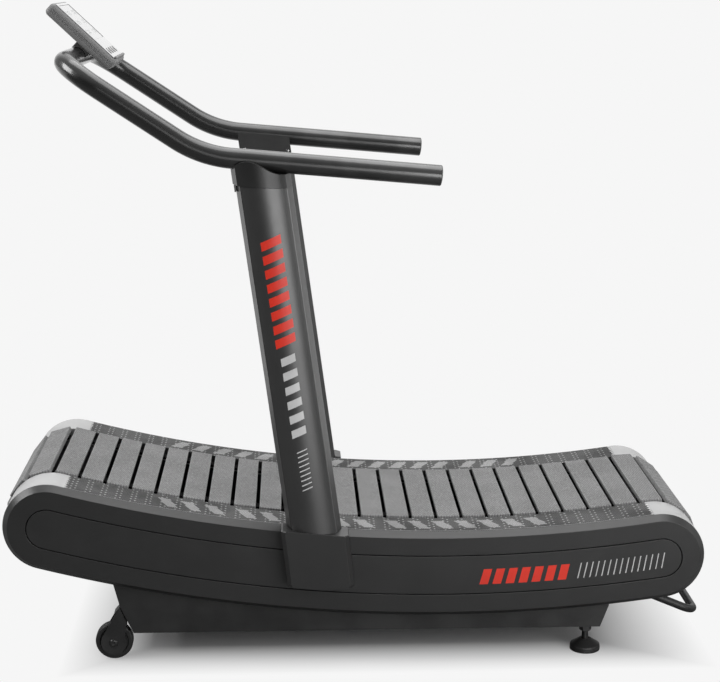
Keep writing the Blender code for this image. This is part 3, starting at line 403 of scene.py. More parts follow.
def apply_modifiers(obj):
    bpy.context.view_layer.update()
    evaluated = obj.evaluated_get(bpy.context.evaluated_depsgraph_get())
    mesh = bpy.data.meshes.new_from_object(evaluated)
    obj.modifiers.clear()
    old = obj.data
    obj.data = mesh
    bpy.data.meshes.remove(old)
    return obj


def carve(obj, *tools):
    """Cut the tools out of the piece and use them up."""
    for tool in tools:
        modifier = obj.modifiers.new("cut", "BOOLEAN")
        modifier.object = tool
        modifier.operation = "DIFFERENCE"
        modifier.solver = "EXACT"
    apply_modifiers(obj)
    for tool in tools:
        bpy.data.objects.remove(tool, do_unlink=True)
    return obj


def soften(obj, width, segments=3, angle=30.0):
    """Round the piece's edges."""
    bevel = obj.modifiers.new("soft_edges", "BEVEL")
    bevel.width = width
    bevel.segments = segments
    bevel.limit_method = "ANGLE"
    bevel.angle_limit = math.radians(angle)
    return obj


def dress(node, finish, width, segments=2, angle=50.0):
    """Keep a CAD piece's shape, with a better material and softened edges."""
    obj = frame["nodes"][node]
    obj.data.materials.clear()
    obj.data.materials.append(FINISHES[finish][0])
    soften(obj, width, segments, angle)


def rounded(points, radii, steps=4, closed=True):
    """An outline in two coordinates with its corners turned into arcs. A radius of 0 keeps a corner."""
    corners = [Vector(point) for point in points]
    count = len(corners)
    if not isinstance(radii, (list, tuple)):
        radii = [radii] * count
    result = []
    for index, (corner, radius) in enumerate(zip(corners, radii)):
        at_end = not closed and index in (0, count - 1)
        if at_end or radius <= 0.0:
            result.append(corner)
            continue
        before = corners[index - 1] - corner
        after = corners[(index + 1) % count] - corner
        half_angle = before.angle(after) / 2
        reach = min(radius / math.tan(half_angle), 0.49 * before.length, 0.49 * after.length)
        radius = reach * math.tan(half_angle)
        back, ahead = before.normalized(), after.normalized()
        centre = corner + (back + ahead).normalized() * radius / math.sin(half_angle)
        start = corner + back * reach - centre
        finish = corner + ahead * reach - centre
        turn = start.angle(finish)
        for step in range(steps + 1):
            share = step / steps
            weights = math.sin((1 - share) * turn), math.sin(share * turn)
            result.append(centre + (start * weights[0] + finish * weights[1]) / math.sin(turn))
    return result


def mirrored(points, middle=()):
    """A turned profile's upper half, the points between, and the same half upside down."""
    return [*points, *middle, *((radius, -height) for radius, height in reversed(points))]


def turned(name, profile, place, axis, segments=56, bored=False):
    """A turned piece: the profile gives (radius, height), and height runs along the axis."""
    spin = Vector(axis).to_track_quat("Z", "Y").to_matrix()
    rows = []
    for step in range(segments):
        angle = 2 * math.pi * step / segments
        rows.append([Vector(place) + spin @ Vector((r * math.cos(angle), r * math.sin(angle), height))
                     for r, height in profile])
    return grid_object(name, rows, wrap_rows=True, wrap_columns=bored)


def prism(name, outline, y_from, y_to):
    """A flat plate with an outline in x and z."""
    rows = [[Vector((x, y, z)) for x, z in outline] for y in (y_from, y_to)]
    return solid_object(name, rows)


def bent_path(corners, radii, steps=14):
    """Corner points in space joined by straight lines and arcs."""
    return [Vector(point) for point in rounded(corners, [0.0, *radii, 0.0], steps, closed=False)]


def tube_rows(path, radius, segments=40):
    """Circles square to the path, without twist."""
    rows = []
    for index, place in enumerate(path):
        ahead = path[min(index + 1, len(path) - 1)] - path[max(index - 1, 0)]
        across = ahead.cross(Z_AXIS).normalized()
        upward = across.cross(ahead).normalized()
        rows.append([place + (across * math.cos(angle) + upward * math.sin(angle)) * radius
                     for angle in (2 * math.pi * step / segments for step in range(segments))])
    return rows


# ---- sections swept along the body
def top_stations(angle_from, angle_to, steps):
    """Places along the top, each with the middle arc's point and the outward direction."""
    result = []
    for step in range(steps + 1):
        angle = angle_from + (angle_to - angle_from) * step / steps
        outward = outward_at(angle)
        result.append((SWEEP - outward * SWEEP_RADIUS, outward))
    return result


def bottom_stations(angle_from, angle_to, steps):
    return [(place, -outward) for place, outward in top_stations(angle_from, angle_to, steps)]


def end_stations(centre, start, turn, steps=END_STEPS):
    """Places round an end. Start is the direction's angle from +X towards +Z."""
    return [(centre, spoke(start + turn * step / steps)) for step in range(steps + 1)]


def oval_stations():
    top = top_stations(ANGLE_FRONT, ANGLE_REAR, ARC_STEPS)
    rear = end_stations(REAR, ANGLE_REAR + QUARTER, -math.pi)
    bottom = bottom_stations(ANGLE_REAR, ANGLE_FRONT, ARC_STEPS)
    front = end_stations(FRONT, ANGLE_FRONT - QUARTER, -math.pi)
    return top[:-1] + rear[:-1] + bottom[:-1] + front[:-1]


def follow_rows(section, stations):
    """The section's (y, half height) points at each station."""
    return [[place + outward * half + Y_AXIS * y for y, half in section] for place, outward in stations]


# ---- running belt
PITCH_RADIUS = SLATS_END * SWEEP_RADIUS * SWEEP_ANGLE / (SLATS_TOP * math.pi + SLATS_END * SWEEP_ANGLE)
PITCH = math.pi * PITCH_RADIUS / SLATS_END


def runs():
    """The belt's four runs: centre, radius at the slats, which way is out, start angle, turn, slats."""
    return (
        ("top_run", "belt_top", SWEEP, SWEEP_RADIUS - PITCH_RADIUS, -1, ANGLE_FRONT - QUARTER,
         SWEEP_ANGLE, SLATS_TOP),
        ("bottom_run", "belt_bottom", SWEEP, SWEEP_RADIUS + PITCH_RADIUS, 1, ANGLE_REAR - QUARTER,
         -SWEEP_ANGLE, SLATS_BOTTOM),
        ("rear_wrap", "belt_rear", REAR, PITCH_RADIUS, 1, ANGLE_REAR + QUARTER, -math.pi, SLATS_END),
        ("front_wrap", "belt_front", FRONT, PITCH_RADIUS, 1, ANGLE_FRONT - QUARTER, -math.pi, SLATS_END),
    )


def slat_section(height):
    """A slat's section, with lengthwise ribs on the tread between its rounded edges."""
    half = SLAT_WIDTH / 2
    chamfer = 0.0015
    shoulder = half - SLAT_EDGE
    points = [(chamfer - half, 0.0), (-half, chamfer), (-half, height - SLAT_EDGE)]
    for step in range(1, 6):
        angle = math.pi / 2 * step / 5
        points.append((-shoulder - SLAT_EDGE * math.cos(angle), height - SLAT_EDGE * (1 - math.sin(angle))))
    rib = 2 * shoulder / SLAT_RIBS
    for index in range(1, SLAT_RIBS):
        groove = index * rib - shoulder
        points += [(groove - 0.30 * rib, height), (groove - 0.14 * rib, height - RIB_HEIGHT),
                   (groove + 0.14 * rib, height - RIB_HEIGHT), (groove + 0.30 * rib, height)]
    for step in range(5):
        angle = math.pi / 2 * step / 5
        points.append((shoulder + SLAT_EDGE * math.sin(angle), height - SLAT_EDGE * (1 - math.cos(angle))))
    points += [(half, height - SLAT_EDGE), (half, chamfer), (half - chamfer, 0.0)]
    return points


def slat_rows(length, height):
    """The slat's section at stations along its length, drawn in at both rounded ends."""
    section = slat_section(height)
    rows = []
    for y, inset in ((0.0, 0.0022), (0.0005, 0.0010), (0.0016, 0.0003), (0.0034, 0.0)):
        share_across = 1 - inset / (SLAT_WIDTH / 2)
        share_up = 1 - 2 * inset / height
        rows.append([(across * share_across, y - length / 2, (up - height / 2) * share_up + height / 2)
                     for across, up in section])
    return rows + [[(across, -y, up) for across, y, up in row] for row in reversed(rows)]


def belt_rows(centre, radius, outward, start, turn, steps, side):
    """Drive belt with V ribs on its inner face."""
    inner, outer = (radius + (half - PITCH_RADIUS) * outward for half in BELT_HALF)
    rib = (BELT_Y[1] - BELT_Y[0]) / BELT_RIBS
    valley = inner + 0.0016 * outward
    section = [(BELT_Y[0], outer), (BELT_Y[1], outer), (BELT_Y[1], inner)]
    for index in range(BELT_RIBS - 1, 0, -1):
        middle = BELT_Y[0] + index * rib
        section += [(middle + 0.0012, inner), (middle, valley), (middle - 0.0012, inner)]
    section.append((BELT_Y[0], inner))
    rows = []
    for step in range(steps + 1):
        direction = spoke(start + turn * step / steps)
        rows.append([centre + direction * reach + Y_AXIS * side * y for y, reach in section])
    return rows


def add_slats(bm, centre, radius, outward, start, turn, slats, rows):
    """Slats of one run. Each vertex also keeps its place on its own slat, for the tread's weave."""
    marks = bm.verts.layers.float_vector.new("slat_place")
    underside = radius + (SLAT_INNER - PITCH_RADIUS) * outward
    local = [point for row in rows for point in row]
    for index in range(slats):
        direction = spoke(start + math.copysign(FIRST_SLAT / radius, turn) + turn * index / slats)
        out = direction * outward
        along = Vector((out.z, 0.0, -out.x))
        base = centre + direction * underside
        before = len(bm.verts)
        add_grid(bm, [[base + along * a + Y_AXIS * y + out * up for a, y, up in row] for row in rows],
                 wrap_columns=True, cap_rows=True)
        bm.verts.ensure_lookup_table()
        for vertex, (a, y, up) in zip(bm.verts[before:], local):
            vertex[marks] = Vector((a, y, index))


def build_belt():
    """Slats and drive belts of each run."""
    for run, body, centre, radius, outward, start, turn, slats in runs():
        node = "belt_" + run
        low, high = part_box(node)
        bm = bmesh.new()
        add_slats(bm, centre, radius, outward, start, turn, slats, slat_rows(high.y - low.y, SLAT_HEIGHT))
        place_piece(object_from("slats_" + run, bm), "slat", node, body=body, sharp=40.0)
        direction = math.copysign(1.0, turn)
        lead = direction * (FIRST_SLAT - PITCH / 2 + BELT_TRIM) / radius
        trimmed = turn - 2 * direction * BELT_TRIM / radius
        bm = bmesh.new()
        for side in (-1, 1):
            add_grid(bm, belt_rows(centre, radius, outward, start + lead, trimmed, 4 * slats, side),
                     wrap_columns=True, cap_rows=True)
        # near-black belts: black rubber plus painted shade in the slat gaps
        place_piece(object_from("drive_belts_" + run, bm), "belt", body=body)


# ---- covers and panels
def housing_outline(grow=0.0, lift=0.0):
    """The upright housing's outline from the side; lift stretches its leaning sides upwards."""
    low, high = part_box("upright_housing_left")
    return [(low.x - grow - 0.1164 * lift, high.z + lift),
            (high.x - 0.015 + grow - 0.1103 * lift, high.z - 0.014 + lift),
            (high.x + grow, low.z + 0.0045 - grow),
            (low.x + 0.097, low.z - grow),
            (low.x + 0.017 - grow, low.z + 0.0085 - grow)]


def build_covers():
    """Side covers with a bevelled rim, and the flush panels in their openings."""
    low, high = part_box("side_cover_right")
    face = high.y
    flange = low.y
    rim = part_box("foot_rail_right")[1].y + GAP
    opening, half = halves("side_cover_right")
    under = half - RAIL_THICK - 0.0004
    inside = under - COVER_SKIN
    opening += PANEL_GROOVE
    section = rounded([(face - COVER_SKIN, opening), (face, opening), (face, half - COVER_BEVEL),
                       (rim, half), (rim, under), (flange, under), (flange, inside),
                       (rim - 0.0015, inside), (face - COVER_SKIN, half - COVER_BEVEL - 0.002)],
                      [0.0, 0.0009, 0.0012, 0.0016, 0.0, 0.0, 0.0, 0.0, 0.0])
    panel_half = halves("side_panel_right")[1]
    panel_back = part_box("side_panel_right")[0].y
    panel = rounded([(panel_back, panel_half), (face, panel_half), (face, 0.8 * panel_half)],
                    [0.0, 0.0009, 0.0], closed=False)[:-1]
    kinds = (("cover", "side_cover_", section, rim - 0.0001, {"wrap_columns": True}),
             ("cover_panel", "side_panel_", panel, face - NOTCH_PLAY, {"cap_columns": True}))
    for hand, side in SIDES:
        for name, node, outline, notch_from, closing in kinds:
            rows = follow_rows([(side * y, reach) for y, reach in outline], oval_stations())
            plate = grid_object(name + "_" + hand, rows, wrap_rows=True, **closing)
            shape = housing_outline(0.0005, 0.06)
            notch = prism("notch", shape, side * notch_from, side * (face + NOTCH_PLAY))
            place_piece(carve(plate, notch), "cover", node + hand)


# ---- foot rails and end caps
def angled_section(side, lowered=0.0):
    """Section of a foot rail or end cap: a strip with a wall beside the belt."""
    low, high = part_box("foot_rail_right")
    skirt, top = halves("foot_rail_right")
    top -= lowered
    corners = [(low.y, skirt), (low.y, top), (high.y, top), (high.y, top - RAIL_THICK),
               (low.y + SKIRT_THICK, top - RAIL_THICK), (low.y + SKIRT_THICK, skirt)]
    section = rounded(corners, [0.001, 0.0020, 0.0008, 0.0008, 0.0015, 0.001])
    return [(side * y, half) for y, half in section]


def rail_angles():
    """Sweep angles where the foot rails start and finish."""
    half = halves("foot_rail_right")[1]
    angles = [sweep_angle(vertex.co) for vertex in frame["nodes"]["foot_rail_right"].data.vertices]
    return min(angles), max(angles), half


def add_nub(bm, place, outward, along, light):
    """A small hexagonal nub with sloping sides."""
    radius = NUB_RADIUS * (1.12 if light else 1.0)
    ring = [(math.cos(math.pi / 3 * step), math.sin(math.pi / 3 * step)) for step in range(6)]
    base = [bm.verts.new(place + (along * a + Y_AXIS * b) * radius) for a, b in ring]
    top = [bm.verts.new(place + outward * NUB_HEIGHT + (along * a + Y_AXIS * b) * radius * 0.74)
           for a, b in ring]
    faces = [bm.faces.new((base[index - 1], base[index], top[index], top[index - 1])) for index in range(6)]
    faces.append(bm.faces.new(top))
    for face in faces:
        face.material_index = int(light)


def rail_marks(side):
    """Starts of the slanted bars printed on a foot rail, in distance from the rail's start."""
    starts = []
    place = MARKS_FROM
    for count in MARK_GROUPS[::side]:
        starts += [place + index * MARK_PERIOD for index in range(count)]
        place = starts[-1] + 1.35 * MARK_PERIOD
    return starts


def on_mark(distance, share, side):
    if not MARK_SHARE[0] <= share <= MARK_SHARE[1]:
        return False
    return any(start <= distance - MARK_SLANT * share <= start + MARK_WIDTH for start in rail_marks(side))


def rail_place(distance, across, side):
    """Place on a foot rail's strip: distance from its front end, across from its inner edge."""
    start, _, top = rail_angles()
    angle = start + distance / (SWEEP_RADIUS - top)
    outward = outward_at(angle)
    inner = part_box("foot_rail_right")[0].y
    reach = SWEEP_RADIUS - top + NUB_HEIGHT
    return SWEEP - outward * reach + Y_AXIS * side * (inner + across), outward


def build_nubs(hand, side, length, width):
    """The strip's field of nubs; those in the staggered dots and in the slanted marks are light."""
    rise = NUB_PITCH * math.sqrt(3) / 2
    bm = bmesh.new()
    for line in range(int((width - 0.007) / rise)):
        across = 0.0045 + line * rise
        for column in range(int((length - 0.007) / NUB_PITCH)):
            distance = 0.0045 + (column + 0.5 * (line % 2)) * NUB_PITCH
            place, outward = rail_place(distance, across, side)
            first = column % DOT_COLUMNS == 2 and line % DOT_LINES == 0
            second = column % DOT_COLUMNS == 4 and line % DOT_LINES == DOT_LINES // 2
            light = first or second or on_mark(distance, across / width, side)
            add_nub(bm, place, outward, Vector((outward.z, 0.0, -outward.x)), light)
    nubs = object_from("foot_rail_nubs_" + hand, bm)
    nubs.data.materials.append(FINISHES["tread"][0])
    nubs.data.materials.append(FINISHES["tread_light"][0])
    place_piece(nubs, "tread", sharp=None)


def thin_sheet(name, bm, finish, thickness=0.0002):
    """A printed film: the mesh gets a little thickness about its own surface."""
    sheet = object_from(name, bm)
    solid = sheet.modifiers.new("thickness", "SOLIDIFY")
    solid.thickness = thickness
    solid.offset = 0.0
    return place_piece(sheet, finish, sharp=None)


def build_rail_teeth(hand, side, length, width):
    """Pale teeth where the end caps meet the strip."""
    bm = bmesh.new()
    tooth = width / CAP_TEETH
    for distance, reach in ((0.0003, 0.008), (length - 0.0003, -0.008)):
        for index in range(CAP_TEETH):
            corners = ((distance, index), (distance, index + 1), (distance + reach, index + 0.5))
            bm.faces.new([bm.verts.new(rail_place(d, part * tooth, side)[0]) for d, part in corners])
    thin_sheet("foot_rail_teeth_" + hand, bm, "cap", 0.0004)


def build_rails():
    """Foot rails: an L-shaped strip, its field of nubs, the printed marks and the pale edge trim."""
    start, finish, top = rail_angles()
    low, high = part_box("foot_rail_right")
    width = high.y - low.y
    length = (finish - start) * (SWEEP_RADIUS - top)
    stations = top_stations(start, finish, ARC_STEPS)
    for hand, side in SIDES:
        rows = follow_rows(angled_section(side, NUB_HEIGHT), stations)
        # the strip takes the darker rubber: painted shade between the nubs
        place_piece(solid_object("foot_rail_strip_" + hand, rows), "tread_base_painted_shade", "foot_rail_" + hand)
        build_nubs(hand, side, length, width)
        build_rail_teeth(hand, side, length, width)
        near, far = side * (high.y - 0.0022), side * (high.y - 0.0006)
        trim = rounded([(near, top - 0.0012), (near, top - 0.0001), (far, top - 0.0001), (far, top - 0.0012)],
                       [0.0, 0.0005, 0.0005, 0.0])
        bead = solid_object("foot_rail_trim_" + hand, follow_rows(trim, stations))
        place_piece(bead, "tread_light")


def build_end_caps():
    """Pale caps that carry the foot rails' shape round both ends."""
    start, finish, _ = rail_angles()
    tail = CAP_TAIL / SWEEP_RADIUS
    seam = GAP / SWEEP_RADIUS
    ends = []
    for end, centre, angle, joint, way in (("front", FRONT, ANGLE_FRONT, start - seam, 1),
                                           ("rear", REAR, ANGLE_REAR, finish + seam, -1)):
        ends.append((end, top_stations(joint, angle, 3)[:-1]
                     + end_stations(centre, angle + QUARTER, way * math.pi)
                     + bottom_stations(angle, angle + way * tail, 1)[1:]))
    for hand, side in SIDES:
        for end, stations in ends:
            cap = solid_object("cap_%s_%s" % (end, hand), follow_rows(angled_section(side), stations))
            place_piece(cap, "cap", "end_cap_%s_%s" % (end, hand))


# ---- uprights
def upright_shape():
    """Depth, inner y, and the axis's lower and upper point, from the CAD post's box."""
    low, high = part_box("upright_right")
    bottom = Vector((high.x - UPRIGHT_HALF * math.cos(UPRIGHT_LEAN), 0.0,
                     low.z + UPRIGHT_HALF * math.sin(UPRIGHT_LEAN)))
    reach = UPRIGHT_HALF / math.cos(UPRIGHT_LEAN + UPRIGHT_TOP_SLOPE)
    top_z = high.z - reach * math.sin(UPRIGHT_TOP_SLOPE)
    top = Vector((bottom.x - (top_z - bottom.z) * math.tan(UPRIGHT_LEAN), 0.0, top_z))
    return high.y - low.y, low.y, bottom, top


def front_arch(half, depth):
    """Radius of the section's arched outer side, and its half angle."""
    shoulder = half - SHOULDER_INSET
    rise = (depth - UPRIGHT_WALL) * (1 - SHOULDER_SHARE)
    radius = (shoulder ** 2 + rise ** 2) / (2 * rise)
    return radius, math.asin(shoulder / radius)


def outer_depth(x, depth):
    """How far the post's arched side stands out at x across it."""
    radius, _ = front_arch(UPRIGHT_HALF, depth)
    return depth - radius + math.sqrt(radius ** 2 - x ** 2)


def post_section(half, depth, seams=True, steps=40):
    """Flat inner side, short walls, leaning flanks and an arched outer side between two grooves."""
    radius, limit = front_arch(half, depth)
    shoulder = Vector((radius * math.sin(limit), depth - radius * (1 - math.cos(limit))))
    wall = Vector((half, UPRIGHT_WALL))
    flank = (shoulder - wall).normalized()
    side = [Vector((half - 0.0012, 0.0)), Vector((half, 0.0012)), wall - Vector((0.0, 0.0020)),
            wall + flank * 0.0020]
    if seams:
        side += [shoulder - flank * SEAM_WIDTH,
                 shoulder - flank * SEAM_WIDTH * 0.6 - Vector((SEAM_DEPTH, 0.0)),
                 shoulder - Vector((SEAM_DEPTH, 0.0002))]
        limit -= SEAM_WIDTH / radius
    turns = [limit * (1 - 2 * step / steps) for step in range(steps + 1)]
    arch = [Vector((radius * math.sin(turn), depth - radius * (1 - math.cos(turn)))) for turn in turns]
    return side + arch + [Vector((-point.x, point.y)) for point in reversed(side)]


def post_ring(section, side, place, inner_y, top_end=False):
    """The section on the post's axis, square to it or along the sloping top end."""
    across = POST_ACROSS
    if top_end:
        across = across - outward_at(UPRIGHT_LEAN) * math.tan(UPRIGHT_LEAN + UPRIGHT_TOP_SLOPE)
    return [place + across * x + Y_AXIS * side * (inner_y + y) for x, y in section]


def build_uprights():
    """Hollow posts with softened ends, grooves, and slanted bars printed on the arched side."""
    depth, inner_y, bottom, top = upright_shape()
    skin = 0.003
    lip = 0.0007
    outer = post_section(UPRIGHT_HALF, depth)
    inner = [(x * (1 - skin / UPRIGHT_HALF), skin + y * (depth - 2 * skin) / depth) for x, y in outer]
    trimmed = [(x * (1 - lip / UPRIGHT_HALF), lip / 2 + y * (depth - lip) / depth) for x, y in outer]
    axis = (top - bottom).normalized()
    for hand, side in SIDES:
        rings = ((trimmed, bottom, False), (outer, bottom + axis * lip, False),
                 (outer, top - axis * lip, True), (trimmed, top, True),
                 (inner, top, True), (inner, bottom, False))
        rows = [post_ring(section, side, place, inner_y, top_end) for section, place, top_end in rings]
        post = ring_object("post_" + hand, rows)
        place_piece(post, "post", "upright_" + hand)
    build_post_prints(depth, inner_y, bottom, axis)


def build_post_prints(depth, inner_y, bottom, axis):
    """Slanted bars up the posts: (height, thickness, from x, to x) each."""
    red = [(0.600 + 0.0345 * index, 0.0215, -0.026, 0.024) for index in range(8)]
    bold = [(0.372 + 0.0365 * index, 0.0200, -0.019, 0.017) for index in range(6)]
    thin = [(0.236 + 0.0122 * index, 0.0028, -0.013, 0.013) for index in range(9)]
    for hand, side in SIDES:
        for finish, bars in (("red", red), ("pale", bold + thin)):
            bm = bmesh.new()
            for height, thickness, x_from, x_to in bars:
                rows = []
                for step in range(13):
                    x = x_from + (x_to - x_from) * step / 12
                    place = bottom + POST_ACROSS * x + axis * (height + PRINT_SLANT * (x - x_from))
                    place += Y_AXIS * side * (inner_y + outer_depth(x, depth) + PRINT_LIFT)
                    rows.append([place, place + axis * thickness])
                add_grid(bm, rows)
            thin_sheet("post_print_%s_%s" % (finish, hand), bm, finish, 0.0003)


# ---- housings, collars, handlebar
def build_housings():
    """Shrouds round the posts' feet, with drawn-in outer corners."""
    depth, inner_y, bottom, top = upright_shape()
    low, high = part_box("upright_housing_right")
    axis = (top - bottom).normalized()
    draw = 0.010
    play = 0.0009
    behind = 0.01
    full = housing_outline()
    drawn_in = [(x + shift, z) for (x, z), shift in zip(full, (draw, -draw, -draw, 0.0, draw))]
    radii = [0.004, 0.004, 0.008, 0.0, 0.008]
    section = post_section(UPRIGHT_HALF + play, depth + play, seams=False)
    section = [(x, y if y > UPRIGHT_WALL / 2 else y - behind) for x, y in section]
    for hand, side in SIDES:
        rings = [(rounded(full, radii), low.y), (rounded(full, radii), high.y - draw),
                 (rounded(drawn_in, radii), high.y)]
        rows = [[Vector((x, side * y, z)) for x, z in outline] for outline, y in rings]
        shroud = solid_object("housing_" + hand, rows)
        pocket = solid_object("pocket", [post_ring(section, side, bottom + axis * lift, inner_y)
                                         for lift in (-GAP, 0.25)])
        soften(carve(shroud, pocket), 0.0016, 3, 28.0)
        place_piece(shroud, "cover", "upright_housing_" + hand)


def tube_path():
    """Centre line of the handlebar, from its left rear end round to its right rear end."""
    low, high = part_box("handlebar")
    front = Vector((low.x + TUBE_RADIUS, 0.0, high.z - TUBE_RADIUS))
    knee = front + KNEE_FROM_FRONT
    slope = math.atan2(knee.z - low.z - TUBE_RADIUS, high.x - knee.x)
    rear = Vector((high.x - TUBE_RADIUS * math.sin(slope), 0.0, low.z + TUBE_RADIUS * math.cos(slope)))
    shift = Y_AXIS * (high.y - TUBE_RADIUS)
    corners = [rear - shift, knee - shift, front - shift, front + shift, knee + shift, rear + shift]
    return bent_path(corners, (KNEE_RADIUS, CORNER_RADIUS, CORNER_RADIUS, KNEE_RADIUS)), rear, knee


def build_handlebar():
    """Hollow bent tube with flat open ends, and its end plugs."""
    path, rear, knee = tube_path()
    outer = tube_rows(path, TUBE_RADIUS)
    inner = tube_rows(path, TUBE_RADIUS - TUBE_WALL)
    bar = ring_object("handlebar_tube", outer + inner[::-1])
    place_piece(bar, "tube", "handlebar")
    spigot = TUBE_RADIUS - TUBE_WALL - 0.0012
    head = TUBE_RADIUS - 0.0006
    profile = rounded([(0.0, 0.0040), (0.0150, 0.0038), (head - 0.002, 0.0022), (head, GAP),
                       (spigot, GAP), (spigot, -0.0200), (0.0, -0.0200)],
                      [0.0, 0.006, 0.002, 0.0004, 0.0, 0.001, 0.0], closed=False)
    slope = (rear - knee).normalized()
    for hand, side in SIDES:
        place = rear + Y_AXIS * side * middle_of("handlebar_plug_right").y
        plug = turned("tube_plug_" + hand, profile, place, slope)
        place_piece(plug, "plug", "handlebar_plug_" + hand)


def crest_depth(x):
    """Depth of the collar's outer top edge under the tube's centre line, at x from the post's axis."""
    start, crest, end = CREST_X
    least, greatest = CREST_DROP
    if x < crest:
        share = max(0.0, (x - start) / (crest - start))
        return greatest - (greatest - least) * math.sin(share * math.pi / 2)
    share = min(1.0, (x - crest) / (end - crest))
    return least + (greatest - least) * (1 - math.cos(share * math.pi)) / 2


def build_collars():
    """Saddles between posts and handlebar: the outer side rises to a crest in front of the tube."""
    depth, inner_y, bottom, top = upright_shape()
    axis = (top - bottom).normalized()
    section = [(x - COLLAR_PROUD, y) for x, y in
               post_section(UPRIGHT_HALF + COLLAR_PROUD, depth + 0.001, seams=False)]
    _, rear, knee = tube_path()
    level = (rear - knee).normalized()
    tube_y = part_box("handlebar")[1].y - TUBE_RADIUS
    at_axis = rear + level * ((top.x - 0.008 - rear.x) / level.x)
    rise = Vector((0.0, 0.0, 0.2))
    steps = 40
    crest = [at_axis + level * x - Z_AXIS * crest_depth(x)
             for x in (0.1 * (2 * step / steps - 1) for step in range(steps + 1))]
    centre_line = [at_axis + level * reach for reach in (-0.2, 0.2)]
    for hand, side in SIDES:
        rows = [post_ring(section, side, top + axis * GAP, inner_y, True),
                post_ring(section, side, top + axis * 0.1, inner_y)]
        collar = solid_object("collar_" + hand, rows)
        tools = []
        for line, y_from in ((centre_line, 0.25), (crest, tube_y)):
            outline = [(point.x, point.z) for point in (*line, line[-1] + rise, line[0] + rise)]
            tools.append(prism("above", outline, side * y_from, side * 0.45))
        bar = [point + Y_AXIS * side * tube_y for point in centre_line]
        tools.append(solid_object("bar", tube_rows(bar, TUBE_RADIUS + 0.0006, 64)))
        soften(carve(collar, *tools), 0.0008, 2, 40.0)
        place_piece(collar, "collar", "handlebar_collar_" + hand)
        build_collar_fittings(hand, side, top, axis, inner_y)


def build_collar_fittings(hand, side, top, axis, inner_y):
    """Two screws on the collar's flat inner side, and the cover of the wire's way at its front edge."""
    profile = rounded([(0.0, 0.0022), (0.0030, 0.0020), (0.0042, 0.0), (0.0, 0.0)],
                      [0.0, 0.0010, 0.0003, 0.0], closed=False)
    level = Vector((1.0, 0.0, -math.tan(UPRIGHT_TOP_SLOPE)))
    for number, x in enumerate((-0.060, 0.060), start=1):
        place = top + axis * 0.019 + level * x + Y_AXIS * side * (inner_y - 0.0001)
        screw = turned("collar_screw_%s_%d" % (hand, number), profile, place, (0, -side, 0), 24)
        place_piece(screw, "steel")
    tall, thick, reach = 0.0170, 0.0035, (0.004, 0.020)
    outline = rounded([(-thick, -tall), (0.0, -tall), (0.0, 0.0), (-thick, 0.0)], 0.0010)
    corner = top + axis * UPRIGHT_HALF * math.tan(UPRIGHT_LEAN + UPRIGHT_TOP_SLOPE)
    corner -= POST_ACROSS * (UPRIGHT_HALF + GAP) + axis * 0.0010
    rows = [[corner + POST_ACROSS * x + axis * z + Y_AXIS * side * (inner_y + y) for x, z in outline]
            for y in reach]
    tab = solid_object("collar_tab_" + hand, rows)
    place_piece(tab, "dark_steel")


# ---- console
def console_place(along=0.0, across=0.0, out=0.0):
    turn = Matrix.Rotation(CONSOLE_TILT, 4, "Y")
    return Matrix.Translation(middle_of("console_housing")) @ turn @ Matrix.Translation((along, across, out))


def rounded_slab(name, size, radius, levels, steps=8):
    """A slab with round corners. Levels give (height, inset) from its underside up."""
    rows = []
    for height, inset in levels:
        a, b = size[0] / 2 - inset, size[1] / 2 - inset
        outline = rounded([(-a, -b), (a, -b), (a, b), (-a, b)], max(radius - inset, 0.0005), steps)
        rows.append([Vector((x, y, height)) for x, y in outline])
    return solid_object(name, rows)


def move_mesh(obj, matrix):
    obj.data.transform(matrix)
    return obj


def console_levels():
    """Heights and insets up the monitor's edge: a rounded back, ribs along the middle, a rounded rim."""
    half = CONSOLE_SIZE[2] / 2
    arc = [(CONSOLE_CORNER * (1 - math.cos(angle)), CONSOLE_CORNER * (1 - math.sin(angle)))
           for angle in (math.pi / 2 * step / 6 for step in range(7))]
    levels = [(rise - half, inset) for rise, inset in arc]
    for index in range(3):
        height = CONSOLE_CORNER - half + 0.0006 + index * 0.0034
        levels += [(height, 0.0), (height + 0.0004, RIB_INSET), (height + 0.0018, RIB_INSET),
                   (height + 0.0022, 0.0)]
    return levels + [(half - rise, inset) for rise, inset in reversed(arc)]


